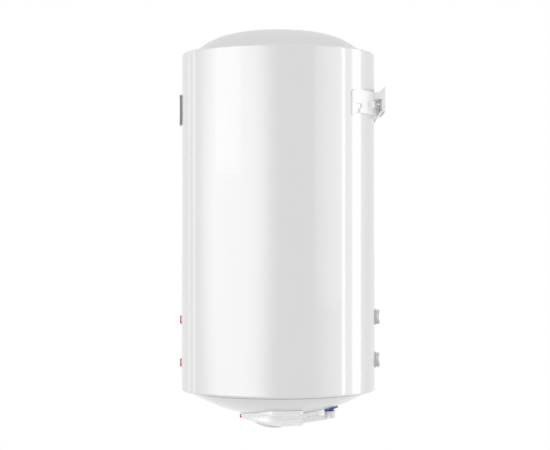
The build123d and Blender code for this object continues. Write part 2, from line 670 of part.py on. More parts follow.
def build_water_pipes():
    """Cold and hot pipes up into the tank, the cold one's diffuser, sleeves and colour rings."""
    bore = PIPE_RADIUS - PIPE_WALL
    cold_high = TANK_BOTTOM + COLD_PIPE_RISE
    cold = tube(PIPE_RADIUS, bore, PIPE_LOW, cold_high)
    save("cold_inlet_pipe", at_pipe("cold") * cold)
    hot = tube(PIPE_RADIUS, bore, PIPE_LOW, TANK_HIGH - HOT_PIPE_DROP)
    save("hot_outlet_pipe", at_pipe("hot") * hot)

    cup_inner = DIFFUSER_RADIUS - DIFFUSER_WALL
    cup_low = cold_high - DIFFUSER_HEIGHT / 2
    cup_high = cup_low + DIFFUSER_HEIGHT
    cup = rod(DIFFUSER_RADIUS, cup_low, cup_high)
    cup -= rod(cup_inner, cup_low - OVERRUN, cup_high - DIFFUSER_WALL)
    cup += tube(PIPE_RADIUS + SEAT_GAP + DIFFUSER_WALL, PIPE_RADIUS + SEAT_GAP, cup_low, cold_high)
    bridge = block(
        (-cup_inner - DIFFUSER_WALL / 2, -DIFFUSER_WALL / 2, cup_low),
        (cup_inner + DIFFUSER_WALL / 2, DIFFUSER_WALL / 2, cup_high - DIFFUSER_WALL),
    )
    cup += bridge - rod(PIPE_RADIUS + SEAT_GAP, cup_low - OVERRUN, cup_high - DIFFUSER_WALL)
    window = Pos(DIFFUSER_RADIUS, 0, cup_low) * Box(2 * DIFFUSER_SLOT, DIFFUSER_SLOT, DIFFUSER_HEIGHT)
    step = 360 / DIFFUSER_SLOT_COUNT
    cup -= [Rot(Z=(place + 1 / 2) * step) * window for place in range(DIFFUSER_SLOT_COUNT)]
    save("cold_diffuser", at_pipe("cold") * cup)

    low = SLEEVE_HIGH - SLEEVE_LENGTH
    sleeve = rod(SLEEVE_RADIUS, low, SLEEVE_HIGH)
    sleeve = chamfer(sleeve.edges().sort_by(Axis.Z)[0], SLEEVE_EDGE)
    sleeve += rod(SLEEVE_RADIUS + SLEEVE_RIM, SLEEVE_HIGH - SLEEVE_RIM_HEIGHT, SLEEVE_HIGH)
    thread_high = low + SLEEVE_THREAD_LENGTH
    sleeve -= rod(SLEEVE_THREAD_RADIUS, low - OVERRUN, thread_high)
    sleeve -= rod(SLEEVE_STOP_RADIUS, low, SLEEVE_HIGH)
    sleeve -= rod(PIPE_RADIUS + SEAT_GAP, thread_high + SLEEVE_STOP_THICK, SLEEVE_HIGH + OVERRUN)
    ring_bore = rod(SLEEVE_RADIUS + SLEEVE_RIM + SEAT_GAP, -2 * BOTTOM_DOME_DEPTH, 0)
    for side in PIPE_SIDES:
        save(f"{side}_sleeve", at_pipe(side) * sleeve)
        disc = rod(RING_RADIUS, -RING_THICK, RING_THICK)
        disc = chamfer(disc.edges().sort_by(Axis.Z)[-1], RING_EDGE)
        ring = ring_place(side) * disc - dome_block(-SEAT_GAP) - at_pipe(side) * ring_bore
        save(f"{side}_ring", ring)


def coil_stations():
    """Points and directions along the coil: in from the lower stub, round, and out again."""
    lead = math.sqrt((COIL_RADIUS + COIL_LEAD_BEND) ** 2 - COIL_LEAD_BEND**2)
    lead_angle = math.asin(COIL_LEAD_BEND / (COIL_RADIUS + COIL_LEAD_BEND))
    turning = 2 * math.pi * COIL_LOOPS - 2 * lead_angle
    slope = STUB_SPACING / (COIL_RADIUS * turning)
    steps = 4 * COIL_LOOPS
    stations = [(Vector(0, lead, STUB_LOW), Vector(0, -1, 0))]
    for step in range(steps + 1):
        share = step / steps
        angle = math.pi / 2 - lead_angle - share * turning
        radial = Vector(math.cos(angle), math.sin(angle), 0)
        way = Vector(radial.Y, -radial.X, slope).normalized()
        stations.append((radial * COIL_RADIUS + Vector(0, 0, STUB_LOW + share * STUB_SPACING), way))
    stations.append((Vector(0, lead, STUB_LOW + STUB_SPACING), Vector(0, 1, 0)))
    return stations


def biarc(start, start_way, end, end_way):
    """Two arcs that leave one point and reach the next along the given directions."""
    chord = end - start
    ways = start_way + end_way
    spread = 2 * (1 - start_way.dot(end_way))
    along = chord.dot(ways)
    reach = (math.sqrt(along**2 + spread * chord.dot(chord)) - along) / spread
    first_corner = start + start_way * reach
    second_corner = end - end_way * reach
    middle = (first_corner + second_corner) * 0.5
    middle_way = (second_corner - first_corner).normalized()
    return [TangentArc(start, middle, tangent=start_way), TangentArc(middle, end, tangent=middle_way)]


def coil_self_gap(route):
    """Least gap between two turns of the coil, measured on points along its centre line."""
    points = [route @ (share / COIL_GAP_POINTS) for share in range(COIL_GAP_POINTS + 1)]
    apart = math.ceil(COIL_GAP_POINTS / (2 * COIL_LOOPS))
    least = min(
        (points[first] - points[second]).length
        for first in range(len(points))
        for second in range(first + apart, len(points))
    )
    return least - 2 * COIL_TUBE_RADIUS


def build_coil():
    """Coil of the indirect heater, its stubs through the casing and the stubs' collars."""
    stations = coil_stations()
    arcs = []
    for (start, start_way), (end, end_way) in zip(stations, stations[1:]):
        arcs += biarc(start, start_way, end, end_way)
    first, last = stations[0][0], stations[-1][0]
    mouth = TANK_RADIUS + STUB_SEAT
    lead_in = Line((0, mouth, first.Z), first)
    lead_out = Line(last, (0, mouth, last.Z))
    route = Wire([lead_in] + arcs + [lead_out])
    print("coil self gap", round(coil_self_gap(route), 2))
    start_plane = Plane(origin=(0, mouth, first.Z), z_dir=(0, -1, 0))
    coil = sweep(start_plane * Circle(COIL_TUBE_RADIUS), path=route)
    bore_start = TANK_RADIUS - STUB_SEAT
    for height in STUB_HEIGHTS.values():
        bore = rod(COIL_TUBE_RADIUS - COIL_TUBE_WALL, bore_start, mouth + OVERRUN)
        coil -= toward_wall(height) * bore
    save("heat_exchanger_coil", coil)

    tank_seat = rod(TANK_RADIUS + SEAT_GAP, 0, TANK_HIGH)
    casing_seat = rod(CASING_RADIUS + SEAT_GAP, 0, CASING_HEIGHT)
    stub_end = CASING_RADIUS + STUB_REACH
    collar_end = CASING_RADIUS + SEAT_GAP + STUB_COLLAR_THICK
    for name, height in STUB_HEIGHTS.items():
        stub = rod(STUB_THREAD_RADIUS, collar_end + SEAT_GAP, stub_end)
        stub = chamfer(stub.edges().sort_by(Axis.Z)[-1], STUB_EDGE)
        stub += rod(STUB_SHANK_RADIUS, TANK_RADIUS - STUB_SEAT, stub_end - STUB_EDGE)
        stub -= rod(STUB_BORE, TANK_RADIUS - OVERRUN, stub_end + OVERRUN)
        save(f"coil_stub_{name}", toward_wall(height) * stub - tank_seat)
        collar = tube(STUB_COLLAR_RADIUS, STUB_SHANK_RADIUS + SEAT_GAP, TANK_RADIUS, collar_end)
        save(f"stub_collar_{name}", toward_wall(height) * collar - casing_seat)


def build_front_pockets():
    """Two closed sensor pockets through the front, each shut by a plug on a washer."""
    bore = FRONT_POCKET_RADIUS - FRONT_POCKET_WALL
    deep_end = TANK_RADIUS - FRONT_POCKET_DEPTH
    washer_low = CASING_RADIUS + SEAT_GAP
    washer_high = washer_low + WASHER_THICK
    plug_end = CASING_RADIUS + PLUG_REACH
    shank_radius = bore - SEAT_GAP
    for name, stub_height in STUB_HEIGHTS.items():
        place = toward_user(stub_height - PLUG_BELOW_STUB)
        pocket = rod(FRONT_POCKET_RADIUS, deep_end, CASING_RADIUS)
        pocket -= rod(bore, deep_end + FRONT_POCKET_WALL, CASING_RADIUS + OVERRUN)
        save(f"sensor_pocket_{name}", place * pocket)
        save(f"plug_washer_{name}", place * tube(WASHER_RADIUS, bore, washer_low, washer_high))
        plug = rod(PLUG_RADIUS, washer_high, plug_end)
        plug = fillet(plug.edges().sort_by(Axis.Z)[-1], PLUG_EDGE)
        plug += rod(shank_radius, CASING_RADIUS - PLUG_SHANK, washer_high)
        save(f"sensor_plug_{name}", place * plug)


def build_badge():
    """Bare badge that hugs the casing's front, hollowed a little across its waist."""
    outer = CASING_RADIUS + BADGE_THICK
    outline = Pos(0, BADGE_CENTRE) * RectangleRounded(BADGE_WIDTH, BADGE_HEIGHT, BADGE_CORNER)
    badge = extrude(Plane.XZ * outline, outer)
    shell = tube(outer, CASING_RADIUS + SEAT_GAP, 0, CASING_HEIGHT)
    badge = badge & shell
    waist_radius = (BADGE_HEIGHT**2 / 4 + BADGE_HOLLOW**2) / (2 * BADGE_HOLLOW)
    waist_place = Pos(0, -(outer - BADGE_HOLLOW + waist_radius), BADGE_CENTRE)
    badge -= waist_place * Rot(Y=90) * Cylinder(waist_radius, 2 * BADGE_WIDTH)
    save("front_badge", badge)


def seen_from_wall(sketch):
    """Stand a flat outline up in the wall's plane and run it from the axis to the wall."""
    return extrude(Plane.XZ * sketch, -AXIS_TO_WALL)


def web_outline():
    """Side view of one bracket web: its edge rises to the plate and slants back below."""
    bend = AXIS_TO_WALL - WEB_BEND_FROM_WALL
    root = AXIS_TO_WALL - WEB_ROOT_FROM_WALL
    back = AXIS_TO_WALL - BRACKET_SHEET
    inner = SADDLE_RADIUS - WEB_DEPTH
    return Polyline(
        (inner, SADDLE_HIGH),
        (root, SADDLE_HIGH),
        (bend, PLATE_HIGH - WEB_BEND_DROP),
        (back, PLATE_HIGH),
        (back, PLATE_LOW + WEB_PLATE_RISE),
        (root, WEB_ROOT_LOW),
        (inner, WEB_ROOT_LOW),
        close=True,
    )


def web_window():
    """Window of the right web: upright at the front, its foot slanting with the web's edge."""
    back = AXIS_TO_WALL - WINDOW_FROM_WALL
    front = back - WINDOW_DEPTH
    high = WINDOW_LOW + WINDOW_TALL
    outline = Polyline(
        (front, WINDOW_LOW),
        (front + WINDOW_FOOT, WINDOW_LOW),
        (back, WINDOW_LOW + WINDOW_SLANT),
        (back, high),
        (front, high),
        close=True,
    )
    window = make_face(outline)
    return fillet(window.vertices(), WINDOW_CORNER)


def build_bracket():
    """Pressed wall bracket: saddle, a windowed and a beaded web, and the plate on the wall."""
    band = rounded_area(-SADDLE_HALF_WIDTH, SADDLE_HALF_WIDTH, SADDLE_LOW, SADDLE_HIGH, SADDLE_CORNER)
    tongue = SADDLE_TONGUE_HALF_WIDTH
    band += area(-tongue, tongue, SADDLE_LOW - SADDLE_TONGUE_DROP, SADDLE_HIGH)
    tee_height = SADDLE_LOW + TEE_SLOT_RISE + TEE_SLOT_HEIGHT / 2
    for side in (-1, 1):
        edges = sorted((side * SADDLE_HALF_WIDTH, side * (SADDLE_HALF_WIDTH - WING_TAB_WIDTH)))
        band += area(*edges, SADDLE_LOW - WING_TAB_DROP, SADDLE_HIGH - SADDLE_CORNER)
        across = side * TEE_SLOT_CENTRE
        band -= Pos(across, tee_height) * SlotOverall(TEE_SLOT_LENGTH, TEE_SLOT_HEIGHT)
        stem_half = TEE_STEM_WIDTH / 2
        band -= area(across - stem_half, across + stem_half, SADDLE_LOW - OVERRUN, tee_height)
    saddle = seen_from_wall(band) & tube(SADDLE_OUTER, SADDLE_RADIUS, 0, CASING_HEIGHT)

    root_back = math.sqrt(SADDLE_OUTER**2 - WEB_ROOT**2) - BRACKET_SHEET / 2
    plate_inner = AXIS_TO_WALL - BRACKET_SHEET
    half = BRACKET_SHEET / 2
    profile = extrude(Plane.YZ * make_face(web_outline()), PLATE_HALF_WIDTH + OVERRUN, both=True)
    cut = PLATE_HALF_WIDTH + 2 * OVERRUN
    profile -= extrude(Plane.YZ * web_window(), cut)
    relief = Pos(AXIS_TO_WALL - RELIEF_FROM_WALL, PLATE_CENTRE + RELIEF_UP) * Circle(RELIEF_RADIUS)
    profile -= extrude(Plane.YZ * relief, -cut)
    for side in (-1, 1):
        plan = make_face(
            Polyline(
                (side * (WEB_ROOT - half), root_back),
                (side * (WEB_ROOT + half), root_back),
                (side * PLATE_HALF_WIDTH, plate_inner),
                (side * (PLATE_HALF_WIDTH - BRACKET_SHEET), plate_inner),
                close=True,
            )
        )
        web = extrude(Pos(0, 0, WEB_ROOT_LOW) * plan, PLATE_HIGH - WEB_ROOT_LOW)
        saddle += web & profile
    across = PLATE_HALF_WIDTH - half - WEB_ROOT
    deep = plate_inner - root_back
    for height in (PLATE_CENTRE + BEAD_UP, PLATE_CENTRE - BEAD_DOWN):
        start = Plane(origin=(-WEB_ROOT, root_back, height), z_dir=(-across, deep, 0))
        saddle += extrude(start * Circle(BEAD_RADIUS), math.hypot(across, deep))

    outline = rounded_area(-PLATE_HALF_WIDTH, PLATE_HALF_WIDTH, PLATE_LOW, PLATE_HIGH, PLATE_CORNER)
    for side in (-1, 1):
        spot = Pos(side * PLATE_SLOT_SPACING / 2, PLATE_CENTRE)
        outline -= spot * SlotOverall(PLATE_SLOT_LENGTH, 2 * PLATE_SLOT_RADIUS)
    plate = seen_from_wall(outline) - block(
        (-AXIS_TO_WALL, -OVERRUN, 0), (AXIS_TO_WALL, plate_inner, CASING_HEIGHT)
    )
    bracket = saddle + plate

    pad = RectangleRounded(POCKET_WIDTH, POCKET_TALL, POCKET_CORNER)
    for side in (-1, 1):
        place = at_pocket(side) * toward_wall(POCKET_HEIGHT)
        raised = place * extrude(pad, AXIS_TO_WALL)
        bracket += raised & tube(SADDLE_OUTER + POCKET_RISE, SADDLE_OUTER - half, 0, CASING_HEIGHT)
        bracket -= place * rod(BRACKET_BOLT_RADIUS + SEAT_GAP, 0, AXIS_TO_WALL)
    save("wall_bracket", bracket)


def build_bracket_fixings():
    """Stand-off sleeves welded to the tank and the bolts that clamp the bracket to them."""
    head_low = SADDLE_OUTER + POCKET_RISE + SEAT_GAP
    shank_low = TANK_RADIUS + STUB_SEAT
    bolt = rod(BRACKET_BOLT_RADIUS, shank_low, head_low)
    bolt += prism(BRACKET_BOLT_FLATS, head_low, head_low + BRACKET_BOLT_HEAD)
    sleeve_high = CASING_RADIUS - CASING_WALL - 2 * SEAT_GAP
    sleeve = tube(STANDOFF_RADIUS, BRACKET_BOLT_RADIUS + SEAT_GAP, TANK_RADIUS - STUB_SEAT, sleeve_high)
    tank_seat = rod(TANK_RADIUS + SEAT_GAP, 0, TANK_HIGH)
    for name, side in (("left", -1), ("right", 1)):
        place = at_pocket(side) * toward_wall(POCKET_HEIGHT)
        save(f"bracket_bolt_{name}", place * bolt)
        save(f"bracket_standoff_{name}", place * sleeve - tank_seat)


def bowl_form(inset):
    """Deep middle of the cover, drawn this far inside its outside: round nose, crowned face."""
    half = BOWL_HALF_WIDTH - inset
    nose = BOWL_HALF_WIDTH - BOWL_REACH
    back = TRAY_BACK - inset
    plan = Pos(0, nose) * Circle(half) + area(-half, half, nose, back)
    tall = Pos(0, 0, -2 * BOTTOM_DOME_DEPTH) * extrude(plan, 2 * BOTTOM_DOME_DEPTH)
    flat = BOWL_FLAT_LOW + inset
    deep = -2 * BOTTOM_DOME_DEPTH
    ramp = BOWL_FRONT_BACK + (BOWL_FLAT_LOW - deep) * BOWL_RAMP_SHARE
    side_view = Polyline(
        (-TRAY_SIDE_RADIUS, deep),
        (BOWL_FRONT_BACK - inset, deep),
        (ramp - inset, flat),
        (back - BOWL_BACK_EDGE, flat),
        (back, flat + BOWL_BACK_EDGE),
        (back, 0),
        (-TRAY_SIDE_RADIUS, 0),
        close=True,
    )
    limits = extrude(Plane.YZ * make_face(side_view), TRAY_SIDE_RADIUS, both=True)
    crown = FACE * Pos(0, 0, -FACE_RADIUS) * Sphere(FACE_RADIUS - inset)
    return tall & limits & crown


def tray_form(inset):
    """Shallow rim of the cover, which follows the dome from the nose to both sides."""
    front = Pos(0, TRAY_FRONT_RADIUS - TRAY_FRONT_REACH) * Circle(TRAY_FRONT_RADIUS - inset)
    sides = Circle(TRAY_SIDE_RADIUS - inset)
    behind = area(-TRAY_SIDE_RADIUS, TRAY_SIDE_RADIUS, -TRAY_SIDE_RADIUS, TRAY_BACK - inset)
    plan = front & sides & behind
    plan = fillet(plan.vertices(), TRAY_CORNER - inset)
    tall = Pos(0, 0, -2 * BOTTOM_DOME_DEPTH) * extrude(plan, 2 * BOTTOM_DOME_DEPTH)
    face = Pos(0, 0, TRAY_FACE_RADIUS - TRAY_FACE_DEPTH) * Sphere(TRAY_FACE_RADIUS - inset)
    return tall & face


def deck_form(inset):
    """Rear wings of the cover, ramping down from the tray and scooped out round the pipes."""
    half = DECK_HALF_WIDTH - inset
    back = DECK_BACK - inset
    front = inset - DECK_RAMP_FRONT
    plan = area(-half, half, front, back)
    corners = [corner for corner in plan.vertices() if corner.Y > 0]
    plan = fillet(corners, DECK_CORNER - inset)
    for side in PIPE_SIDES:
        plan -= at_pipe(side) * Circle(PIPE_RECESS_RADIUS + inset)
    tall = Pos(0, 0, -2 * BOTTOM_DOME_DEPTH) * extrude(plan, 2 * BOTTOM_DOME_DEPTH)
    deep = -2 * BOTTOM_DOME_DEPTH
    ramp = Polyline(
        (front, 0),
        (front, DECK_RAMP_HIGH + inset),
        (0, DECK_RAMP_LOW + inset),
        (0, deep),
        (back, deep),
        (back, 0),
        close=True,
    )
    limits = extrude(Plane.YZ * make_face(ramp), DECK_HALF_WIDTH, both=True)
    centre = TRAY_FACE_RADIUS - TRAY_FACE_DEPTH - DECK_DROP
    return tall & limits & Pos(0, 0, centre) * Sphere(TRAY_FACE_RADIUS - inset)


def duct_form(inset):
    """Cable duct of the cover, running back between the pipes and rising to its end."""
    back = DUCT_BACK - inset
    side_view = Polyline(
        (0, BOWL_FLAT_LOW + inset),
        (TRAY_BACK, BOWL_FLAT_LOW + inset),
        (back, DUCT_END_LOW + inset),
        (back, 0),
        (0, 0),
        close=True,
    )
    return extrude(Plane.YZ * make_face(side_view), DUCT_HALF_WIDTH - inset, both=True)


def screw_places():
    """Where the two screws of the cover stand."""
    return [Pos(side * SCREW_ACROSS, SCREW_BACK, 0) for side in (-1, 1)]


def screw_seat():
    """Height of the flat seat under a cover screw's head, just above the tray's face."""
    radius = SCREW_ACROSS + SCREW_HEAD_RADIUS
    return TRAY_FACE_RADIUS - TRAY_FACE_DEPTH - math.sqrt(TRAY_FACE_RADIUS**2 - radius**2)


def recess_floor():
    """Height of the knob's recess floor in the tilted face's own frame."""
    edge = KNOB_RADIUS + KNOB_CLEARANCE
    return math.sqrt(FACE_RADIUS**2 - edge**2) - FACE_RADIUS - KNOB_RECESS


def build_cover():
    """Moulded bottom cover: one open shell with the knob's recess, lens window and gland hole."""
    bowl = bowl_form(0)
    face_edges = bowl.faces().filter_by(GeomType.SPHERE)[0].edges()
    side_edges = face_edges.sort_by(Axis.Y)[:-1]
    rounded_bowl = fillet(side_edges, FACE_EDGE)
    outer = rounded_bowl + tray_form(0) + deck_form(0) + duct_form(0)
    inner = bowl_form(COVER_WALL) + tray_form(COVER_WALL)
    inner += deck_form(COVER_WALL) + duct_form(COVER_WALL)
    cover = outer - inner

    floor = recess_floor()
    recess_radius = KNOB_RADIUS + KNOB_CLEARANCE
    cover += FACE * rod(recess_radius + COVER_WALL, floor - COVER_WALL, OVERRUN) & rounded_bowl
    cover -= FACE * rod(recess_radius, floor, 2 * OVERRUN)
    cover -= FACE * rod(HUB_RADIUS + SEAT_GAP, floor - 2 * OVERRUN, OVERRUN)

    seat = screw_seat()
    for place in screw_places():
        cover += place * rod(SCREW_HEAD_RADIUS + SEAT_GAP, seat, 0)
        cover -= place * rod(SCREW_RADIUS + SEAT_GAP, seat - OVERRUN, OVERRUN)
        cover -= place * rod(SCREW_HEAD_RADIUS + SEAT_GAP, seat - 2 * OVERRUN, seat)

    cover -= lens_block(SEAT_GAP)
    cover -= toward_wall(GLAND_MIDDLE) * rod(GLAND_RADIUS + SEAT_GAP, TRAY_BACK, AXIS_TO_WALL)
    middle_half = DECK_HALF_WIDTH - 2 * COVER_WALL
    middle = block((-middle_half, 0, -2 * BOTTOM_DOME_DEPTH), (middle_half, DUCT_BACK, 0))
    for place in range(DECK_NOTCH_COUNT):
        along = DECK_NOTCH_FIRST + place * DECK_NOTCH_STEP
        radius = math.hypot(DECK_HALF_WIDTH, along)
        centre = TRAY_FACE_RADIUS - TRAY_FACE_DEPTH - DECK_DROP
        edge = centre - math.sqrt(TRAY_FACE_RADIUS**2 - radius**2)
        notch = Pos(0, along, edge) * Rot(Y=90) * Cylinder(DECK_NOTCH_RADIUS, 4 * DECK_HALF_WIDTH)
        cover -= notch - middle
    cover -= dome_block(-SEAT_GAP)
    save("bottom_cover", cover)


def lens_block(grow):
    """Block in the cover's nose that the lens fills, or its window when grown."""
    half = LENS_WIDTH / 2 + grow
    tall = LENS_HEIGHT / 2 + grow
    low = (-half, -BOWL_REACH - OVERRUN, LENS_MIDDLE - tall)
    high = (half, -BOWL_REACH + LENS_DEPTH, LENS_MIDDLE + tall)
    return block(low, high)


def build_cover_fittings():
    """Lens and lamp, screws, cable gland, terminal block and the thermostat's companions."""
    save("indicator_lens", lens_block(0) & bowl_form(-LENS_PROUD))
    lamp_front = BOWL_REACH - LENS_DEPTH - SEAT_GAP
    lamp = rod(LAMP_RADIUS, lamp_front - LAMP_LENGTH, lamp_front)
    save("indicator_lamp", toward_user(LENS_MIDDLE + LAMP_RISE) * lamp)

    seat = screw_seat()
    screw = rod(SCREW_RADIUS, seat, bottom_dome_height(SCREW_ACROSS) + SCREW_LENGTH)
    screw += rod(SCREW_HEAD_RADIUS, seat - SCREW_HEAD_THICK, seat)
    save("cover_screws", joined([place * screw for place in screw_places()]))

    back = DUCT_BACK
    gland = tube(GLAND_RADIUS, GLAND_BORE, back - GLAND_LENGTH / 2, back + GLAND_FLANGE_THICK)
    gland += tube(GLAND_FLANGE_RADIUS, GLAND_BORE, back, back + GLAND_FLANGE_THICK)
    save("cable_gland", toward_wall(GLAND_MIDDLE) * gland)

    floor = BOWL_FLAT_LOW + COVER_WALL + SEAT_GAP
    low = (-BLOCK_LENGTH / 2, BLOCK_BACK - BLOCK_WIDTH, floor)
    terminal = block(low, (BLOCK_LENGTH / 2, BLOCK_BACK, floor + BLOCK_HEIGHT))
    step = BLOCK_LENGTH / BLOCK_POLES
    top = floor + BLOCK_HEIGHT
    pit = rod(BLOCK_PIT_RADIUS, top - BLOCK_PIT_DEPTH, top + OVERRUN)
    for pole in range(BLOCK_POLES):
        across = (pole - (BLOCK_POLES - 1) / 2) * step
        terminal -= Pos(across, BLOCK_BACK - BLOCK_WIDTH / 2, 0) * pit
    save("terminal_block", terminal)

    cutout = rod(CUTOUT_RADIUS, FLANGE_LOW - CUTOUT_HEIGHT, FLANGE_LOW)
    button_low = FLANGE_LOW - CUTOUT_HEIGHT - CUTOUT_BUTTON_HEIGHT
    cutout += rod(CUTOUT_BUTTON_RADIUS, button_low, FLANGE_LOW - CUTOUT_HEIGHT)
    save("safety_cutout", Pos(-CUTOUT_ACROSS, -CUTOUT_FORWARD, 0) * cutout)

    earth = rod(EARTH_STUD_RADIUS, FLANGE_LOW - EARTH_STUD_LENGTH, FLANGE_LOW)
    earth += prism(EARTH_NUT_FLATS, FLANGE_LOW - EARTH_NUT_THICK, FLANGE_LOW)
    save("earth_stud", Pos(CUTOUT_ACROSS, -CUTOUT_FORWARD, 0) * earth)


def build_knob():
    """Domed knob with two finger scoops, the spindle it turns and the thermostat behind it."""
    low = recess_floor() + SEAT_GAP
    edge_high = low + KNOB_RECESS + KNOB_EDGE
    crown_radius = (KNOB_RADIUS**2 + KNOB_CROWN**2) / (2 * KNOB_CROWN)
    knob = rod(KNOB_RADIUS, low, edge_high + KNOB_CROWN)
    knob &= Pos(0, 0, edge_high + KNOB_CROWN - crown_radius) * Sphere(crown_radius)
    scoop_place = edge_high + KNOB_CROWN - KNOB_SCOOP_DEPTH + KNOB_SCOOP_RADIUS
    for side in (-1, 1):
        scoop = Pos(side * KNOB_SCOOP_OFFSET, 0, scoop_place) * Sphere(KNOB_SCOOP_RADIUS)
        knob -= scoop
    mark = Pos(0, KNOB_RADIUS, edge_high + KNOB_MARK_RADIUS)
    knob -= mark * Rot(X=90) * Cylinder(KNOB_MARK_RADIUS, KNOB_RADIUS)
    knob += rod(HUB_RADIUS, low - HUB_LENGTH, low)
    knob -= rod(SPINDLE_RADIUS + SEAT_GAP, low - HUB_LENGTH - OVERRUN, low)
    save("thermostat_knob", FACE * knob)

    body_high = recess_floor() - COVER_WALL - SEAT_GAP
    spindle_high = low - SEAT_GAP
    spindle = rod(SPINDLE_RADIUS, spindle_high - SPINDLE_LENGTH, spindle_high)
    save("thermostat_spindle", FACE * spindle)

    outline = RectangleRounded(THERMOSTAT_SIDE, THERMOSTAT_SIDE, THERMOSTAT_CORNER)
    body = Pos(0, 0, body_high - THERMOSTAT_DEPTH) * extrude(outline, THERMOSTAT_DEPTH)
    body -= rod(HUB_RADIUS + SEAT_GAP, low - HUB_LENGTH - SEAT_GAP, body_high + OVERRUN)
    body -= rod(SPINDLE_RADIUS + RUNNING_GAP, spindle_high - SPINDLE_LENGTH - SEAT_GAP, body_high)
    save("thermostat_body", FACE * body)


def main():
    """Build every piece of the heater."""
    os.makedirs("parts", exist_ok=True)
    build_casing()
    build_caps()
    build_foam()
    build_tank()
    build_flange()
    build_elements()
    build_anode()
    build_sensor()
    build_water_pipes()
    build_coil()
    build_front_pockets()
    build_badge()
    build_bracket()
    build_bracket_fixings()
    build_cover()
    build_cover_fittings()
    build_knob()


main()
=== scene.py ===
import json
import math

import bmesh
import bpy
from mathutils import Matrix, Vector
from mathutils.bvhtree import BVHTree


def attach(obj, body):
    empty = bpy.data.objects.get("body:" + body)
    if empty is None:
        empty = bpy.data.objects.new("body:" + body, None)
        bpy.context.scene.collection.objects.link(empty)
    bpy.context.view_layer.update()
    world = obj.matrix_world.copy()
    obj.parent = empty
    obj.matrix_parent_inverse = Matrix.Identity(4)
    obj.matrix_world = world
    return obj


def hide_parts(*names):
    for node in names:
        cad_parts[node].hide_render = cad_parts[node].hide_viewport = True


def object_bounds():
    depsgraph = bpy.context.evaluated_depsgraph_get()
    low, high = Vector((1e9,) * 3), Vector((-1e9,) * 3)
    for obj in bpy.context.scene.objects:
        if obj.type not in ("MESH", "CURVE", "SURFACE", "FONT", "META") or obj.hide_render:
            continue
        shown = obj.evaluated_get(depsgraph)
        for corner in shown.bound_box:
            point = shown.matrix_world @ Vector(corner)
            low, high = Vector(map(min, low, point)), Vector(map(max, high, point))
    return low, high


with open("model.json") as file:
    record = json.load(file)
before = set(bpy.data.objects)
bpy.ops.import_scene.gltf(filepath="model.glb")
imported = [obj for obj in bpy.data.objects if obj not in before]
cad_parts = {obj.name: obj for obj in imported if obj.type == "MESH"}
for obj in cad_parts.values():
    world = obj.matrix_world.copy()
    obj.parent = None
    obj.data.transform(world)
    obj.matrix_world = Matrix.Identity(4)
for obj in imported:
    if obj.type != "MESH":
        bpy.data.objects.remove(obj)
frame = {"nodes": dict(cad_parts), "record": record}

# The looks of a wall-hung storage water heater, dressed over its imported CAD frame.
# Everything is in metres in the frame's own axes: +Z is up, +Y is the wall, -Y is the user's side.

cad_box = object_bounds()

# The photograph: its size, and where its camera stood
PHOTO_WIDTH = 550
PHOTO_HEIGHT = 450
AXIS_Y = -0.245
CAMERA_DISTANCE = 3.744
CAMERA_HEIGHT = -0.3384
FOCAL_PIXELS = 1603.7
AXIS_PIXEL_X = 278.22
HORIZON_PIXEL_Y = 247.73
SENSOR_WIDTH = 36.0

# Ranges of a noise that become its clouds, and the uneven gloss of a surface
CLOUD_RANGE = (0.35, 0.65)
DUST_RANGE = (0.4, 0.7)
SMEAR_RANGE = (0.3, 0.7)

# How unlike the softened normal is from the flat one where an edge starts, and where it is full
EDGE_START = 0.985
EDGE_FULL = 0.80
EDGE_SAMPLES = 6

# How strongly the fine grain of the white finishes shows, and the moulded domes' grain and its depth
GRAIN_STRENGTH = 0.08
MOULD_GRAIN = 600
MOULD_DEPTH = 0.00006

# The casing's glaze is dense, so its gloss is nearly as strong face on as at its edges
GLAZE_IOR = 2.0
LENS_IOR = 1.49

# The floor: how far it lies under the heater, its half width, and where it turns plain white
FLOOR_DROP = 0.70
FLOOR_HALF = 14.0
FLOOR_NEAR = 1.3
FLOOR_FAR = 2.6
FLOOR_GLOW = 0.55
FLOOR_COLOUR = (0.92, 0.92, 0.92, 1)

# The surround's level for plain light, and the places and sizes that like lamps share
WORLD_LEVEL = 0.85
PLAIN_DISTANCE = 3.0
PLAIN_SIZE = 2.0
STRIP_DISTANCE = 2.3
STRIP_HEIGHT = -0.3
STRIP_TALL = 3.0


# Node helpers: each adds one step to a material and returns its output


def start_material(name):
    """A new material, its node tree and its main shader."""
    material = bpy.data.materials.new(name)
    material.use_nodes = True
    tree = material.node_tree
    return material, tree, tree.nodes["Principled BSDF"]


def math_step(tree, operation, first, second):
    """Arithmetic on two numbers."""
    step = tree.nodes.new("ShaderNodeMath")
    step.operation = operation
    tree.links.new(first, step.inputs[0])
    tree.links.new(second, step.inputs[1])
    return step.outputs["Value"]


def vector_step(tree, operation, first, second=None):
    """Arithmetic on one vector or two. The second is a vector or the output of a step."""
    step = tree.nodes.new("ShaderNodeVectorMath")
    step.operation = operation
    tree.links.new(first, step.inputs[0])
    if isinstance(second, tuple):
        step.inputs[1].default_value = second
    elif second is not None:
        tree.links.new(second, step.inputs[1])
    return step.outputs["Value" if operation in ("LENGTH", "DOT_PRODUCT") else "Vector"]


def noise(tree, scale, detail, stretch=(1, 1, 1)):
    """Cloudy noise in the frame's metres. Scale is in features per metre."""
    where = tree.nodes.new("ShaderNodeTexCoord")
    mapping = tree.nodes.new("ShaderNodeMapping")
    texture = tree.nodes.new("ShaderNodeTexNoise")
    mapping.inputs["Scale"].default_value = stretch
    texture.inputs["Scale"].default_value = scale
    texture.inputs["Detail"].default_value = detail
    tree.links.new(where.outputs["Object"], mapping.inputs["Vector"])
    tree.links.new(mapping.outputs["Vector"], texture.inputs["Vector"])
    return texture.outputs["Fac"]


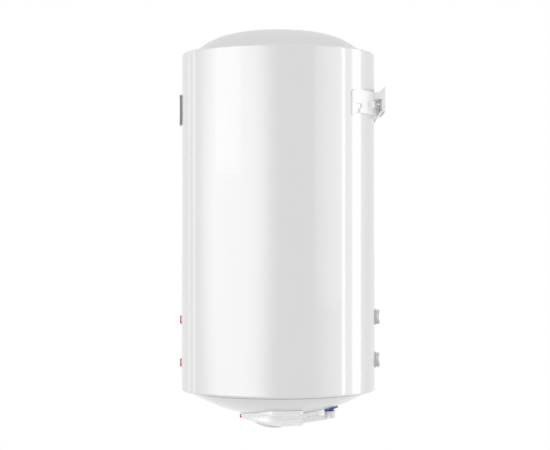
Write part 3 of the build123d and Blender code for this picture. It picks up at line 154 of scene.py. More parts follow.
def fitted(tree, value, low, high, new_low, new_high, easing="LINEAR"):
    """The value moved from one range to another, and held inside the new one."""
    step = tree.nodes.new("ShaderNodeMapRange")
    step.interpolation_type = easing
    step.inputs["From Min"].default_value = low
    step.inputs["From Max"].default_value = high
    step.inputs["To Min"].default_value = new_low
    step.inputs["To Max"].default_value = new_high
    tree.links.new(value, step.inputs["Value"])
    return step.outputs["Result"]


def blended(tree, factor, first, second):
    """One colour turning into another. Each is a colour or the output of a step."""
    step = tree.nodes.new("ShaderNodeMix")
    step.data_type = "RGBA"
    tree.links.new(factor, step.inputs["Factor"])
    for name, colour in (("A", first), ("B", second)):
        socket = [s for s in step.inputs if s.name == name and s.type == "RGBA"][0]
        if isinstance(colour, tuple):
            socket.default_value = (*colour, 1)
        else:
            tree.links.new(colour, socket)
    return [s for s in step.outputs if s.type == "RGBA"][0]


def edge_share(tree, radius):
    """Near 1 on sharp edges and near 0 elsewhere, with the normal of the softened edge."""
    bevel = tree.nodes.new("ShaderNodeBevel")
    bevel.samples = EDGE_SAMPLES
    bevel.inputs["Radius"].default_value = radius
    soft = bevel.outputs["Normal"]
    flat = tree.nodes.new("ShaderNodeNewGeometry").outputs["Normal"]
    likeness = vector_step(tree, "DOT_PRODUCT", soft, flat)
    return fitted(tree, likeness, EDGE_START, EDGE_FULL, 0, 1), soft


def relief(tree, shader, normal, height, depth, strength):
    """A bump over the softened edges. Its depth is in metres."""
    bump = tree.nodes.new("ShaderNodeBump")
    bump.inputs["Strength"].default_value = strength
    bump.inputs["Distance"].default_value = depth
    tree.links.new(height, bump.inputs["Height"])
    tree.links.new(normal, bump.inputs["Normal"])
    tree.links.new(bump.outputs["Normal"], shader.inputs["Normal"])


def coated(shader, weight, roughness):
    """A clear coat over the base."""
    shader.inputs["Coat Weight"].default_value = weight
    shader.inputs["Coat Roughness"].default_value = roughness


def mottled(name, colours, clouds, smears, rough, edge, grain, depth, strength, cloud_range=CLOUD_RANGE):
    """A new material: two clouded colours, a third on its edges, uneven gloss and a fine relief.

    Clouds, smears and grain are noises, each a scale and a detail. Rough is the range of the roughness,
    edge the width of the softened edges, and depth and strength are those of the relief.
    """
    material, tree, shader = start_material(name)
    share, normal = edge_share(tree, edge)
    main, second, edge_wear_and_shade = colours
    cover = fitted(tree, noise(tree, *clouds), *cloud_range, 0, 1)
    base = blended(tree, cover, main, second)
    # Edges take the third colour: wear on most finishes, painted shade on the cover.
    tree.links.new(blended(tree, share, base, edge_wear_and_shade), shader.inputs["Base Color"])
    gloss = fitted(tree, noise(tree, *smears), *SMEAR_RANGE, *rough)
    tree.links.new(gloss, shader.inputs["Roughness"])
    relief(tree, shader, normal, noise(tree, *grain), depth, strength)
    return material, shader


# Materials: one function for each finish on the real heater


def gloss_white(name, colours, rough, grain, depth, specular=0.5):
    """White enamel or moulding: cloudy tint, a third colour on the edges and a faint orange peel. On the
    cover that edge colour is painted shade.
    """
    material, shader = mottled(
        name, colours, clouds=(7, 4), smears=(22, 5), rough=rough, edge=0.0008,
        grain=(grain, 2), depth=depth, strength=GRAIN_STRENGTH,
    )
    shader.inputs["Specular IOR Level"].default_value = specular
    return material, shader


def white_enamel():
    """The casing's stove enamel, under its glaze."""
    colours = (0.76, 0.76, 0.76), (0.752, 0.753, 0.755), (0.78, 0.78, 0.78)
    material, shader = gloss_white(
        "white_enamel", colours, rough=(0.30, 0.34), grain=420, depth=0.0001, specular=0.2
    )
    coated(shader, weight=0.6, roughness=0.07)
    shader.inputs["Coat IOR"].default_value = GLAZE_IOR
    return material


def bracket_paint():
    colours = (0.94, 0.94, 0.94), (0.925, 0.926, 0.93), (0.92, 0.92, 0.92)
    material, shader = gloss_white("bracket_paint", colours, rough=(0.34, 0.46), grain=700, depth=0.0001)
    coated(shader, weight=0.2, roughness=0.2)
    return material


def white_moulding():
    colours = (0.76, 0.76, 0.76), (0.75, 0.752, 0.755), (0.74, 0.74, 0.74)
    material, _ = gloss_white(
        "white_moulding", colours, rough=(0.42, 0.48), grain=MOULD_GRAIN, depth=MOULD_DEPTH, specular=0.1
    )
    return material


def bottom_moulding():
    """The same moulding as the top dome's, left glossier under the heater, and made darker than it as
    painted shade for the underside.
    """
    # Colours below the top dome's moulding: painted shade for the dimmer underside.
    colours = (0.72, 0.72, 0.72), (0.71, 0.712, 0.715), (0.70, 0.70, 0.70)
    material, shader = gloss_white(
        "bottom_moulding", colours, rough=(0.22, 0.26), grain=MOULD_GRAIN, depth=MOULD_DEPTH, specular=0.4
    )
    coated(shader, weight=0.6, roughness=0.08)
    return material


def cover_plastic():
    # The third colour, on the cover's edges, is painted shade: it darkens every edge into a thin dark line
    # that stands for the shadow under the tray's rim.
    colours = (0.92, 0.92, 0.918), (0.905, 0.906, 0.905), (0.70, 0.70, 0.70)
    material, shader = gloss_white("cover_plastic", colours, rough=(0.26, 0.32), grain=2600, depth=0.0001)
    coated(shader, weight=0.5, roughness=0.1)
    return material


def knob_plastic():
    colours = (0.70, 0.705, 0.71), (0.68, 0.685, 0.69), (0.76, 0.765, 0.77)
    material, shader = gloss_white("knob_plastic", colours, rough=(0.36, 0.46), grain=3200, depth=0.0002)
    coated(shader, weight=0.1, roughness=0.25)
    return material


def sleeve_plastic():
    colours = (0.82, 0.82, 0.81), (0.79, 0.79, 0.78), (0.86, 0.86, 0.85)
    material, shader = gloss_white("sleeve_plastic", colours, rough=(0.30, 0.42), grain=1800, depth=0.0002)
    coated(shader, weight=0.2, roughness=0.2)
    return material


def dyed_plastic(name, colours):
    """Moulded coloured plastic: clouded dye, paler rubbed edges and a fine grain."""
    material, shader = mottled(
        name, colours, clouds=(60, 4), smears=(130, 4), rough=(0.26, 0.42), edge=0.0004,
        grain=(2800, 2), depth=0.0002, strength=0.1,
    )
    coated(shader, weight=0.3, roughness=0.15)
    return material


def blue_plastic():
    return dyed_plastic("blue_plastic", ((0.02, 0.09, 0.42), (0.015, 0.07, 0.35), (0.08, 0.17, 0.50)))


def red_plastic():
    return dyed_plastic("red_plastic", ((0.62, 0.09, 0.08), (0.54, 0.07, 0.06), (0.72, 0.20, 0.17)))


def badge_grey():
    return dyed_plastic("badge_grey", ((0.25, 0.255, 0.26), (0.22, 0.225, 0.23), (0.36, 0.365, 0.37)))


def collar_plastic():
    return dyed_plastic("collar_plastic", ((0.60, 0.605, 0.61), (0.56, 0.565, 0.57), (0.68, 0.685, 0.69)))


def control_plastic():
    return dyed_plastic("control_plastic", ((0.05, 0.05, 0.052), (0.035, 0.035, 0.037), (0.10, 0.10, 0.10)))


def gasket_rubber():
    """Grey rubber with a film of dust."""
    colours = (0.30, 0.30, 0.30), (0.36, 0.36, 0.355), (0.42, 0.42, 0.42)
    material, _ = mottled(
        "gasket_rubber", colours, clouds=(180, 6), smears=(90, 3), rough=(0.62, 0.8), edge=0.0005,
        grain=(2400, 3), depth=0.0003, strength=0.2, cloud_range=DUST_RANGE,
    )
    return material


def red_lens():
    """A tinted clear lens over a small lamp."""
    colours = (0.62, 0.02, 0.015), (0.50, 0.012, 0.01), (0.80, 0.10, 0.07)
    material, shader = mottled(
        "red_lens", colours, clouds=(240, 3), smears=(300, 3), rough=(0.10, 0.2), edge=0.0003,
        grain=(900, 0), depth=0.0003, strength=0.25,
    )
    shader.inputs["Transmission Weight"].default_value = 0.35
    shader.inputs["IOR"].default_value = LENS_IOR
    return material


def lamp_glass():
    colours = (0.85, 0.45, 0.28), (0.78, 0.40, 0.25), (0.9, 0.6, 0.4)
    material, shader = mottled(
        "lamp_glass", colours, clouds=(240, 3), smears=(300, 3), rough=(0.05, 0.12), edge=0.0003,
        grain=(700, 0), depth=0.0002, strength=0.1,
    )
    shader.inputs["Transmission Weight"].default_value = 0.7
    return material


def bare_metal(name, colours, rough, stretch):
    """Plated or turned metal: cloudy plating, brighter rubbed edges and fine tool lines."""
    lines = (260, 4, stretch)
    material, shader = mottled(
        name, colours, clouds=(90, 5), smears=lines, rough=rough, edge=0.0004,
        grain=lines, depth=0.0002, strength=0.15,
    )
    shader.inputs["Metallic"].default_value = 1.0
    return material


def stub_steel():
    colours = (0.64, 0.64, 0.645), (0.56, 0.562, 0.565), (0.72, 0.72, 0.725)
    return bare_metal("stub_steel", colours, rough=(0.46, 0.58), stretch=(1, 12, 1))


def fixing_steel():
    colours = (0.66, 0.66, 0.67), (0.55, 0.555, 0.56), (0.80, 0.80, 0.80)
    return bare_metal("fixing_steel", colours, rough=(0.22, 0.38), stretch=(3, 3, 3))


def element_copper():
    colours = (0.70, 0.38, 0.25), (0.55, 0.30, 0.20), (0.85, 0.55, 0.40)
    return bare_metal("element_copper", colours, rough=(0.28, 0.45), stretch=(2, 2, 2))


def anode_magnesium():
    colours = (0.55, 0.55, 0.54), (0.45, 0.45, 0.44), (0.65, 0.65, 0.64)
    return bare_metal("anode_magnesium", colours, rough=(0.5, 0.7), stretch=(6, 6, 1))


def pipe_steel():
    """Blackened steel pipe."""
    colours = (0.05, 0.05, 0.052), (0.09, 0.088, 0.085), (0.2, 0.2, 0.2)
    material, shader = mottled(
        "pipe_steel", colours, clouds=(120, 5), smears=(200, 4), rough=(0.4, 0.6), edge=0.0004,
        grain=(900, 4), depth=0.0003, strength=0.2,
    )
    shader.inputs["Metallic"].default_value = 0.6
    return material


def tank_enamel():
    """The dark blue glass enamel of the inner tank."""
    colours = (0.06, 0.10, 0.20), (0.045, 0.075, 0.16), (0.12, 0.16, 0.26)
    material, _ = mottled(
        "tank_enamel", colours, clouds=(40, 5), smears=(60, 4), rough=(0.2, 0.4), edge=0.0008,
        grain=(220, 4), depth=0.0008, strength=0.25,
    )
    return material


def foam():
    """Rigid foam, with its cells."""
    colours = (0.72, 0.62, 0.38), (0.62, 0.52, 0.30), (0.78, 0.70, 0.48)
    material, _ = mottled(
        "foam", colours, clouds=(500, 4), smears=(80, 3), rough=(0.8, 0.95), edge=0.001,
        grain=(1400, 3), depth=0.0006, strength=0.4,
    )
    return material


FINISHES = (
    white_enamel, bracket_paint, white_moulding, bottom_moulding, cover_plastic, knob_plastic,
    sleeve_plastic, blue_plastic, red_plastic, red_lens, lamp_glass, badge_grey, collar_plastic,
    pipe_steel, stub_steel, fixing_steel, tank_enamel, foam, gasket_rubber, element_copper,
    anode_magnesium, control_plastic,
)

# Nodes that look other than the rest of their slot
OWN_FINISHES = {
    # The bottom cap takes the darker copy of the moulding: painted shade under the heater.
    "bottom_cap": "bottom_moulding",
    "bracket_bolt_left": "bracket_paint",
    "bracket_bolt_right": "bracket_paint",
}


def dress_nodes():
    """Gives every CAD node its finish, and returns all the finishes by name."""
    finishes = {make.__name__: make() for make in FINISHES}
    for part in frame["record"]["subparts"]:
        node = frame["nodes"][part["node"]]
        node.data.materials.clear()
        node.data.materials.append(finishes[OWN_FINISHES.get(part["node"], part["material_slot"])])
    return finishes


# Detail pieces: sizes in millimetres about the casing's axis and its bottom rim

PER_METRE = 1000
JOIN_DISTANCE = 1e-6
ORIGIN_HEIGHT = 670.5
CASING_RADIUS = 225.0
BOX_FACES = ((0, 1, 2, 3), (4, 5, 6, 7), (0, 1, 5, 4), (1, 2, 6, 5), (2, 3, 7, 6), (3, 0, 4, 7))

# The tilted face under the knob, and how far off it the rays start that find its surface
FACE_TILT = 9.6
KNOB_FORWARD = 22.0
KNOB_SEAT_LOW = -79.3
RAY_START = 30.0

# The dial: degrees that it covers, its strokes (length and half width) and how they lie on the face
DIAL_SWEEP = 250
DIAL_TOP = 90
DIAL_TICKS = 21
TICKS_PER_NUMBER = 4
DIAL_LAST_NUMBER = 5
DIAL_TICK_RADIUS = 37.0
LONG_STROKE = (4.4, 0.6)
SHORT_STROKE = (2.6, 0.35)
STROKE_LOW = -0.1
STROKE_HIGH = 0.15
DIAL_NUMBER_RADIUS = 47.0
DIAL_NUMBER_SIZE = 7.5
DIAL_NUMBER_DEPTH = 0.1
DIAL_NUMBER_LIFT = 0.03

# The knob's pointer
POINTER_START = 15.0
POINTER_END = 29.0
POINTER_HALF_WIDTH = 0.7
POINTER_LOW = -0.1
POINTER_HIGH = 0.2
POINTER_STATIONS = 15

# The lens: each ring of its rounded ends has a distance from the end and an inset
LENS_HALF_WIDTH = 6.0
LENS_FRONT = 89.2
LENS_BACK = 84.0
LENS_LOW = -64.0
LENS_HIGH = -55.2
LENS_ENDS = ((0, 1.0), (0.25, 0.4), (0.9, 0))
LENS_STEPS = 40
LENS_PRISMS = 5
LENS_PRISM_DEPTH = 0.35
LENS_CORNER_DEPTH = 1.2
LENS_CORNER_POWER = 10

# The cover's screws: the outline of one from the crown of its head to its tip, as radius and rise
SCREW_ACROSS = 112.0
SCREW_BACK = 3.0
SCREW_SEAT = -49.18
SCREW_STEPS = 40
SCREW_OUTLINE = (
    (0, -2.4), (1.5, -2.34), (2.7, -2.05), (3.5, -1.45), (3.9, -0.7), (4.0, 0),
    (2.0, 0), (2.0, 1), (2.0, 13), (1.2, 14.2), (0, 14.2),
)
RECESS_LENGTH = 2.3
RECESS_WIDTH = 0.5
RECESS_DEPTH = 1.3
RECESS_OVERRUN = 0.6
RECESS_TAPER_SHARE = 0.6

# The threads of the coil stubs
STUB_HEIGHTS = {"lower": 71.0, "upper": 171.0}
THREAD_START = 227.9
THREAD_END = 234.7
THREAD_PITCH = 2.309
THREAD_ROOT = 16.4
THREAD_CREST = 17.05
THREAD_ROOT_HALF = 0.9
THREAD_CREST_HALF = 0.25
THREAD_STEPS = 72
THREAD_RUN_OUT_STEPS = 12

# The casing's seam: its section across and outwards, and how it grows at each end
SEAM_TURN = 140
SEAM_LOW = 11.0
SEAM_HIGH = 770.0
SEAM_SECTION = (
    (-4.6, -0.3), (-4.5, 0.2), (-4.1, 0.55), (-3.5, 0.7),
    (3.5, 0.7), (4.1, 0.55), (4.5, 0.2), (4.6, -0.3),
)
SEAM_ENDS = ((0, 0), (0.8, 0.7), (1.6, 1))

# The dark ring under the bottom rim, painted shade for the joint's shadow line: its section as a radius and
# how proud it stands of the dome
DOME_HALF = 215.3
DOME_TALL = 62.9
DOME_DEPTH = 60.0
SHADOW_RING_SECTION = ((206.6, -0.2), (206.8, 0.3), (207.4, 0.5), (210.4, 0.5), (210.9, 0.2), (210.9, -0.2))
SHADOW_RING_STEPS = 256


def spot(x, y, height):
    """A point about the casing's axis and its bottom rim, in the frame's metres."""
    return Vector((x / PER_METRE, AXIS_Y + y / PER_METRE, (height - ORIGIN_HEIGHT) / PER_METRE))


def face_spot(right, ahead, out):
    """A point about the knob's centre: towards +X, towards the user, and out of the tilted face."""
    lean = math.radians(FACE_TILT)
    forward = KNOB_FORWARD + ahead * math.cos(lean) + out * math.sin(lean)
    return spot(right, -forward, KNOB_SEAT_LOW + ahead * math.sin(lean) - out * math.cos(lean))


def full_turn(steps):
    """The angles of a full turn in equal steps."""
    return [2 * math.pi * step / steps for step in range(steps)]


def both_ends(low, high, rings):
    """The rings of a bar's low end, then the same rings mirrored at its high end."""
    return [(low + rise, value) for rise, value in rings] + [
        (high - rise, value) for rise, value in reversed(rings)
    ]


def moved_on(faces, first):
    """The same faces for points that start further on in the list."""
    return [tuple(first + corner for corner in face) for face in faces]


def ringed_faces(rings, count, closed_way, closed_section=True):
    """Faces between equal rings of points. The way from ring to ring may close on itself."""
    faces = []
    for ring in range(rings if closed_way else rings - 1):
        here = ring * count
        there = (ring + 1) % rings * count
        for place in range(count if closed_section else count - 1):
            beside = (place + 1) % count
            faces.append((here + place, here + beside, there + beside, there + place))
    return faces


def barred_faces(rings, count):
    """Faces between the rings of a bar, with its two ends closed."""
    last = (rings - 1) * count
    ends = [tuple(range(count)), tuple(range(last, last + count))]
    return ringed_faces(rings, count, False) + ends


def clean_mesh(name, points, faces):
    """A mesh with its doubled points joined and its faces turned outwards."""
    mesh = bpy.data.meshes.new(name)
    mesh.from_pydata(points, [], faces)
    form = bmesh.new()
    form.from_mesh(mesh)
    bmesh.ops.remove_doubles(form, verts=form.verts, dist=JOIN_DISTANCE)
    bmesh.ops.recalc_face_normals(form, faces=form.faces)
    form.to_mesh(mesh)
    form.free()
    return mesh


def shown(name, data):
    """An object for this data, linked to the scene."""
    made = bpy.data.objects.new(name, data)
    bpy.context.scene.collection.objects.link(made)
    return made


def piece_from(name, points, faces, slot, finishes, body="heater", smooth=False):
    """A new piece of the heater from its points and faces, with its finish and the body it rides."""
    mesh = clean_mesh(name, points, faces)
    for face in mesh.polygons:
        face.use_smooth = smooth
    mesh.materials.append(finishes[slot])
    piece = shown(name, mesh)
    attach(piece, body)
    return piece


def surface_of(node):
    """A CAD node as a surface that rays can find."""
    return BVHTree.FromObject(frame["nodes"][node], bpy.context.evaluated_depsgraph_get())


def laid_on_face(surface, right, ahead, lift):
    """The point of a surface under this place of the tilted face, lifted off it a little."""
    start = face_spot(right, ahead, RAY_START)
    way = (face_spot(right, ahead, 0) - start).normalized()
    return surface.ray_cast(start, way)[0] - way * lift / PER_METRE


def add_lens(finishes):
    """The indicator's lens: a proud block with rounded ends and upright prisms moulded in its front."""
    rings = both_ends(LENS_LOW, LENS_HIGH, LENS_ENDS)
    points = []
    for height, inset in rings:
        half = LENS_HALF_WIDTH - inset
        for step in range(LENS_STEPS + 1):
            share = step / LENS_STEPS
            prism = LENS_PRISM_DEPTH * abs(math.sin(LENS_PRISMS * math.pi * share))
            rounded = LENS_CORNER_DEPTH * abs(2 * share - 1) ** LENS_CORNER_POWER
            points.append(spot(half * (2 * share - 1), -(LENS_FRONT - inset + prism - rounded), height))
        points += [spot(half, -LENS_BACK, height), spot(-half, -LENS_BACK, height)]
    faces = barred_faces(len(rings), len(points) // len(rings))
    lens = piece_from("indicator_lens_prisms", points, faces, "red_lens", finishes)
    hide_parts("indicator_lens")


def add_dial_ticks(finishes, surface):
    """Printed strokes round the knob, a longer one at each number."""
    points, faces = [], []
    for tick in range(DIAL_TICKS):
        turn = math.radians(DIAL_TOP - DIAL_SWEEP * tick / (DIAL_TICKS - 1))
        length, half = SHORT_STROKE if tick % TICKS_PER_NUMBER else LONG_STROKE
        faces += moved_on(BOX_FACES, len(points))
        for lift in (STROKE_LOW, STROKE_HIGH):
            for reach, side in ((0, -half), (length, -half), (length, half), (0, half)):
                along = DIAL_TICK_RADIUS + reach
                right = along * math.cos(turn) - side * math.sin(turn)
                ahead = along * math.sin(turn) + side * math.cos(turn)
                points.append(laid_on_face(surface, right, ahead, lift))
    piece_from("dial_ticks", points, faces, "badge_grey", finishes)


def number_outline(number):
    """A printed number's points about its centre, and its faces."""
    data = bpy.data.curves.new("number", "FONT")
    data.body = str(number)
    data.size = DIAL_NUMBER_SIZE
    data.extrude = DIAL_NUMBER_DEPTH
    data.align_x = "CENTER"
    data.align_y = "CENTER"
    holder = bpy.data.objects.new("number", data)
    outline = holder.to_mesh()
    places = [tuple(vertex.co) for vertex in outline.vertices]
    faces = [tuple(face.vertices) for face in outline.polygons]
    holder.to_mesh_clear()
    bpy.data.objects.remove(holder)
    bpy.data.curves.remove(data)
    return places, faces


def add_dial_numbers(finishes, surface):
    """Printed numbers from 0 round the knob, upright for a user who looks up from the front."""
    points, faces = [], []
    for number in range(DIAL_LAST_NUMBER + 1):
        turn = math.radians(DIAL_TOP - DIAL_SWEEP * number / DIAL_LAST_NUMBER)
        places, sides = number_outline(number)
        faces += moved_on(sides, len(points))
        for across, up, lift in places:
            right = DIAL_NUMBER_RADIUS * math.cos(turn) + across
            ahead = DIAL_NUMBER_RADIUS * math.sin(turn) + up
            points.append(laid_on_face(surface, right, ahead, lift + DIAL_NUMBER_LIFT))
    piece_from("dial_numbers", points, faces, "badge_grey", finishes)


def add_knob_pointer(finishes):
    """The printed pointer of the knob, which lies on its crown."""
    surface = surface_of("thermostat_knob")
    half = POINTER_HALF_WIDTH
    section = ((-half, POINTER_LOW), (half, POINTER_LOW), (half, POINTER_HIGH), (-half, POINTER_HIGH))
    points = []
    for station in range(POINTER_STATIONS):
        share = station / (POINTER_STATIONS - 1)
        ahead = POINTER_START + share * (POINTER_END - POINTER_START)
        points += [laid_on_face(surface, side, ahead, lift) for side, lift in section]
    faces = barred_faces(POINTER_STATIONS, len(section))
    piece_from("knob_pointer", points, faces, "control_plastic", finishes, "knob")


def add_screws(finishes):
    """The cover's two pan-head screws, each with a cross recess."""
    points, faces = [], []
    for side in (-1, 1):
        faces += moved_on(ringed_faces(SCREW_STEPS, len(SCREW_OUTLINE), True, False), len(points))
        for turn in full_turn(SCREW_STEPS):
            for radius, rise in SCREW_OUTLINE:
                across = side * SCREW_ACROSS + radius * math.cos(turn)
                points.append(spot(across, SCREW_BACK + radius * math.sin(turn), SCREW_SEAT + rise))
    screws = piece_from("cover_screw_heads", points, faces, "fixing_steel", finishes)
    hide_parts("cover_screws")
    cut_recesses(screws)


def cut_recesses(screws):
    """Cuts the cross recess out of each screw's head."""
    crown = SCREW_OUTLINE[0][1]
    ends = ((crown - RECESS_OVERRUN, 1), (crown + RECESS_DEPTH, RECESS_TAPER_SHARE))
    points, faces = [], []
    for side in (-1, 1):
        for long, wide in ((RECESS_LENGTH, RECESS_WIDTH), (RECESS_WIDTH, RECESS_LENGTH)):
            faces += moved_on(BOX_FACES, len(points))
            for rise, share in ends:
                for x, y in ((-1, -1), (1, -1), (1, 1), (-1, 1)):
                    across = side * SCREW_ACROSS + x * long * share
                    points.append(spot(across, SCREW_BACK + y * wide * share, SCREW_SEAT + rise))
    cutter = shown("recesses", clean_mesh("recesses", points, faces))
    cut = screws.modifiers.new("recess", "BOOLEAN")
    cut.operation = "DIFFERENCE"
    cut.solver = "EXACT"
    cut.use_self = True
    cut.object = cutter
    bpy.context.view_layer.update()
    made = bpy.data.meshes.new_from_object(screws.evaluated_get(bpy.context.evaluated_depsgraph_get()))
    screws.modifiers.clear()
    screws.data = made
    bpy.data.objects.remove(cutter)


def add_stub_threads(finishes):
    """The screw thread on each coil stub, as a ridge that winds round it and runs out at both ends."""
    steps = round((THREAD_END - THREAD_START) / THREAD_PITCH * THREAD_STEPS)
    for name, height in STUB_HEIGHTS.items():
        points = []
        for step in range(steps + 1):
            turn = 2 * math.pi * step / THREAD_STEPS
            along = THREAD_START + THREAD_PITCH * step / THREAD_STEPS
            grown = min(1, (step + 1) / THREAD_RUN_OUT_STEPS, (steps - step + 1) / THREAD_RUN_OUT_STEPS)
            crest = THREAD_ROOT + (THREAD_CREST - THREAD_ROOT) * grown
            for radius, shift in (
                (THREAD_ROOT, -THREAD_ROOT_HALF), (crest, -THREAD_CREST_HALF),
                (crest, THREAD_CREST_HALF), (THREAD_ROOT, THREAD_ROOT_HALF),
            ):
                points.append(spot(radius * math.cos(turn), along + shift, height + radius * math.sin(turn)))
        faces = barred_faces(steps + 1, len(points) // (steps + 1))
        piece_from(f"stub_thread_{name}", points, faces, "stub_steel", finishes)


def add_casing_seam(finishes):
    """The lock seam of the rolled casing, down its far side."""
    rings = both_ends(SEAM_LOW, SEAM_HIGH, SEAM_ENDS)
    points = []
    for height, share in rings:
        for across, proud in SEAM_SECTION:
            turn = math.radians(SEAM_TURN) + across / CASING_RADIUS
            radius = CASING_RADIUS + (proud * share if proud > 0 else proud)
            points.append(spot(radius * math.cos(turn), radius * math.sin(turn), height))
    piece_from("casing_seam", points, barred_faces(len(rings), len(SEAM_SECTION)), "white_enamel", finishes)


def add_rim_seal(finishes):
    """A dark rubber ring laid on the bottom dome against the casing's lower bead: painted shade for the
    shadow line in that joint.
    """
    crown = (DOME_HALF**2 + DOME_TALL**2) / (2 * DOME_TALL)
    section = []
    for radius, proud in SHADOW_RING_SECTION:
        dome = crown - DOME_DEPTH - math.sqrt(crown**2 - radius**2)
        section.append((radius, dome - proud))
    points = []
    for turn in full_turn(SHADOW_RING_STEPS):
        for radius, height in section:
            points.append(spot(radius * math.cos(turn), radius * math.sin(turn), height))
    faces = ringed_faces(SHADOW_RING_STEPS, len(section), True)
    # The grey rubber ring stands in for the shade in the joint.
    piece_from("bottom_rim_shadow_ring", points, faces, "gasket_rubber", finishes, smooth=True)


def add_details(finishes):
    """Every small piece that the scene adds to the CAD nodes."""
    surface = surface_of("bottom_cover")
    add_lens(finishes)
    add_dial_ticks(finishes, surface)
    add_dial_numbers(finishes, surface)
    add_knob_pointer(finishes)
    add_screws(finishes)
    add_stub_threads(finishes)
    add_casing_seam(finishes)
    add_rim_seal(finishes)


# The room: floor, sky, lamps and camera


def floor_paint():
    """Matte and pale near the object, where its shadow falls, and plain white to the eye far off."""
    material, tree, _ = start_material("floor")
    tree.nodes.clear()
    where = tree.nodes.new("ShaderNodeTexCoord")
    reach = vector_step(tree, "LENGTH", where.outputs["Object"])
    far = fitted(tree, reach, FLOOR_NEAR, FLOOR_FAR, FLOOR_GLOW, 1)
    rays = tree.nodes.new("ShaderNodeLightPath").outputs
    seen = math_step(tree, "MAXIMUM", rays["Is Camera Ray"], rays["Is Glossy Ray"])
    matte = tree.nodes.new("ShaderNodeBsdfDiffuse")
    matte.inputs["Color"].default_value = FLOOR_COLOUR
    white = tree.nodes.new("ShaderNodeEmission")
    mixed = tree.nodes.new("ShaderNodeMixShader")
    tree.links.new(math_step(tree, "MULTIPLY", far, seen), mixed.inputs["Fac"])
    tree.links.new(matte.outputs["BSDF"], mixed.inputs[1])
    tree.links.new(white.outputs["Emission"], mixed.inputs[2])
    output = tree.nodes.new("ShaderNodeOutputMaterial")
    tree.links.new(mixed.outputs["Shader"], output.inputs["Surface"])
    return material


def place_floor():
    """A pale square far wider than the object."""
    low = cad_box[0][2] - FLOOR_DROP
    corners = ((-1, -1), (1, -1), (1, 1), (-1, 1))
    mesh = bpy.data.meshes.new("floor")
    mesh.from_pydata([(x * FLOOR_HALF, y * FLOOR_HALF, low) for x, y in corners], [], [(0, 1, 2, 3)])
    mesh.materials.append(floor_paint())
    floor = shown("floor", mesh)


def light_world():
    """A white surround for what the camera and gloss see, and a softer one for plain light."""
    world = bpy.data.worlds.new("surround")
    bpy.context.scene.world = world
    world.use_nodes = True
    tree = world.node_tree
    tree.nodes.clear()
    rays = tree.nodes.new("ShaderNodeLightPath").outputs
    seen = math_step(tree, "MAXIMUM", rays["Is Camera Ray"], rays["Is Glossy Ray"])
    seen = math_step(tree, "MAXIMUM", seen, rays["Is Transmission Ray"])
    background = tree.nodes.new("ShaderNodeBackground")
    background.inputs["Color"].default_value = (1, 1, 1, 1)
    tree.links.new(fitted(tree, seen, 0, 1, WORLD_LEVEL, 1), background.inputs["Strength"])
    output = tree.nodes.new("ShaderNodeOutputWorld")
    tree.links.new(background.outputs["Background"], output.inputs["Surface"])


def faded(data, soft, round_edge):
    """Makes a lamp dim towards its edges: over its sides, or all round.

    The place on its face runs from 0 to 1 each way.
    """
    data.use_nodes = True
    tree = data.node_tree
    place = tree.nodes.new("ShaderNodeNewGeometry").outputs["Parametric"]
    middle = vector_step(tree, "SUBTRACT", place, (0.5, 0.5, 0))
    spread = vector_step(tree, "MULTIPLY", middle, (2, 2 if round_edge else 0, 0))
    reach = vector_step(tree, "LENGTH", spread)
    share = fitted(tree, reach, 1 - soft, 1, 1, 0, "SMOOTHSTEP")
    tree.links.new(share, tree.nodes["Emission"].inputs["Strength"])


def lamp(name, turn, place, size, radiance, soft=0.0, round_edge=False, gloss_only=False):
    """An area lamp aimed at the heater's axis, as bright as its radiance from any distance.

    Turn is in degrees from the camera towards the wall, and place a distance and a height.
    """
    distance, height = place
    data = bpy.data.lights.new(name, "AREA")
    data.shape = "ELLIPSE" if round_edge else "RECTANGLE"
    data.size, data.size_y = size
    area = data.size * data.size_y * (math.pi / 4 if round_edge else 1)
    data.energy = radiance * area * math.pi
    if soft:
        faded(data, soft, round_edge)
    light = shown(name, data)
    angle = math.radians(turn)
    light.location = (distance * math.cos(angle), AXIS_Y + distance * math.sin(angle), height)
    aim = Vector((0, AXIS_Y, CAMERA_HEIGHT))
    light.rotation_euler = (aim - light.location).to_track_quat("-Z", "Y").to_euler()
    light.visible_camera = False
    if gloss_only:
        light.visible_diffuse = False
        light.visible_transmission = False


def plain_lamp(name, turn, height, radiance):
    """A square lamp that lights every surface."""
    lamp(name, turn, (PLAIN_DISTANCE, height), (PLAIN_SIZE, PLAIN_SIZE), radiance)


def gloss_box(name, turn, place, size, radiance, soft, round_edge=False):
    """A soft-edged shape that only gloss shows."""
    lamp(name, turn, place, size, radiance, soft, round_edge, gloss_only=True)


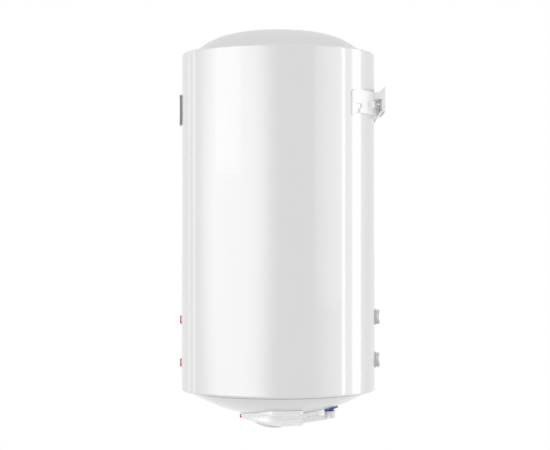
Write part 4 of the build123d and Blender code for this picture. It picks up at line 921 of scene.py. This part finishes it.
def gloss_strip(name, turn, width, radiance):
    """A tall sharp stripe that only gloss shows."""
    lamp(name, turn, (STRIP_DISTANCE, STRIP_HEIGHT), (width, STRIP_TALL), radiance, gloss_only=True)


def place_lamps():
    """Plain light from three sides, and the shapes that the gloss of the casing shows."""
    plain_lamp("key", turn=-60, height=0.9, radiance=0.52)
    plain_lamp("fill", turn=60, height=0.4, radiance=0.42)
    plain_lamp("back", turn=180, height=0.6, radiance=0.52)
    gloss_box(
        "soft_box", turn=-53, place=(2.6, -0.18), size=(6.9, 4.6), radiance=2.6, soft=0.73, round_edge=True
    )
    gloss_box("side_box", turn=-101, place=(2.6, -0.2), size=(1.5, 3.4), radiance=0.35, soft=0.9)
    gloss_box("edge_box", turn=-126, place=(2.3, -0.3), size=(0.55, 3.0), radiance=0.5, soft=0.8)
    gloss_box("low_box", turn=-30, place=(2.3, -1.12), size=(2.4, 0.46), radiance=3.0, soft=0.7)
    gloss_box("glow", turn=82, place=(2.6, -0.25), size=(5.4, 3.4), radiance=1.1, soft=0.9)
    gloss_strip("strip_near", turn=79.2, width=0.20, radiance=2.4)
    gloss_strip("strip_far", turn=101.5, width=0.66, radiance=2.0)
    gloss_strip("strip_behind", turn=-113.7, width=0.19, radiance=1.2)


def place_camera():
    """The photograph's camera: level, square on to the heater's side."""
    data = bpy.data.cameras.new("photo_camera")
    data.sensor_width = SENSOR_WIDTH
    data.lens = FOCAL_PIXELS / PHOTO_WIDTH * SENSOR_WIDTH
    data.shift_x = (PHOTO_WIDTH / 2 - AXIS_PIXEL_X) / PHOTO_WIDTH
    data.shift_y = (HORIZON_PIXEL_Y - PHOTO_HEIGHT / 2) / PHOTO_WIDTH
    camera = shown("photo_camera", data)
    camera.location = (CAMERA_DISTANCE, AXIS_Y, CAMERA_HEIGHT)
    camera.rotation_euler = (math.radians(90), 0, math.radians(90))
    bpy.context.scene.camera = camera


bpy.context.scene.view_settings.view_transform = "Standard"
add_details(dress_nodes())
place_floor()
light_world()
place_lamps()
place_camera()
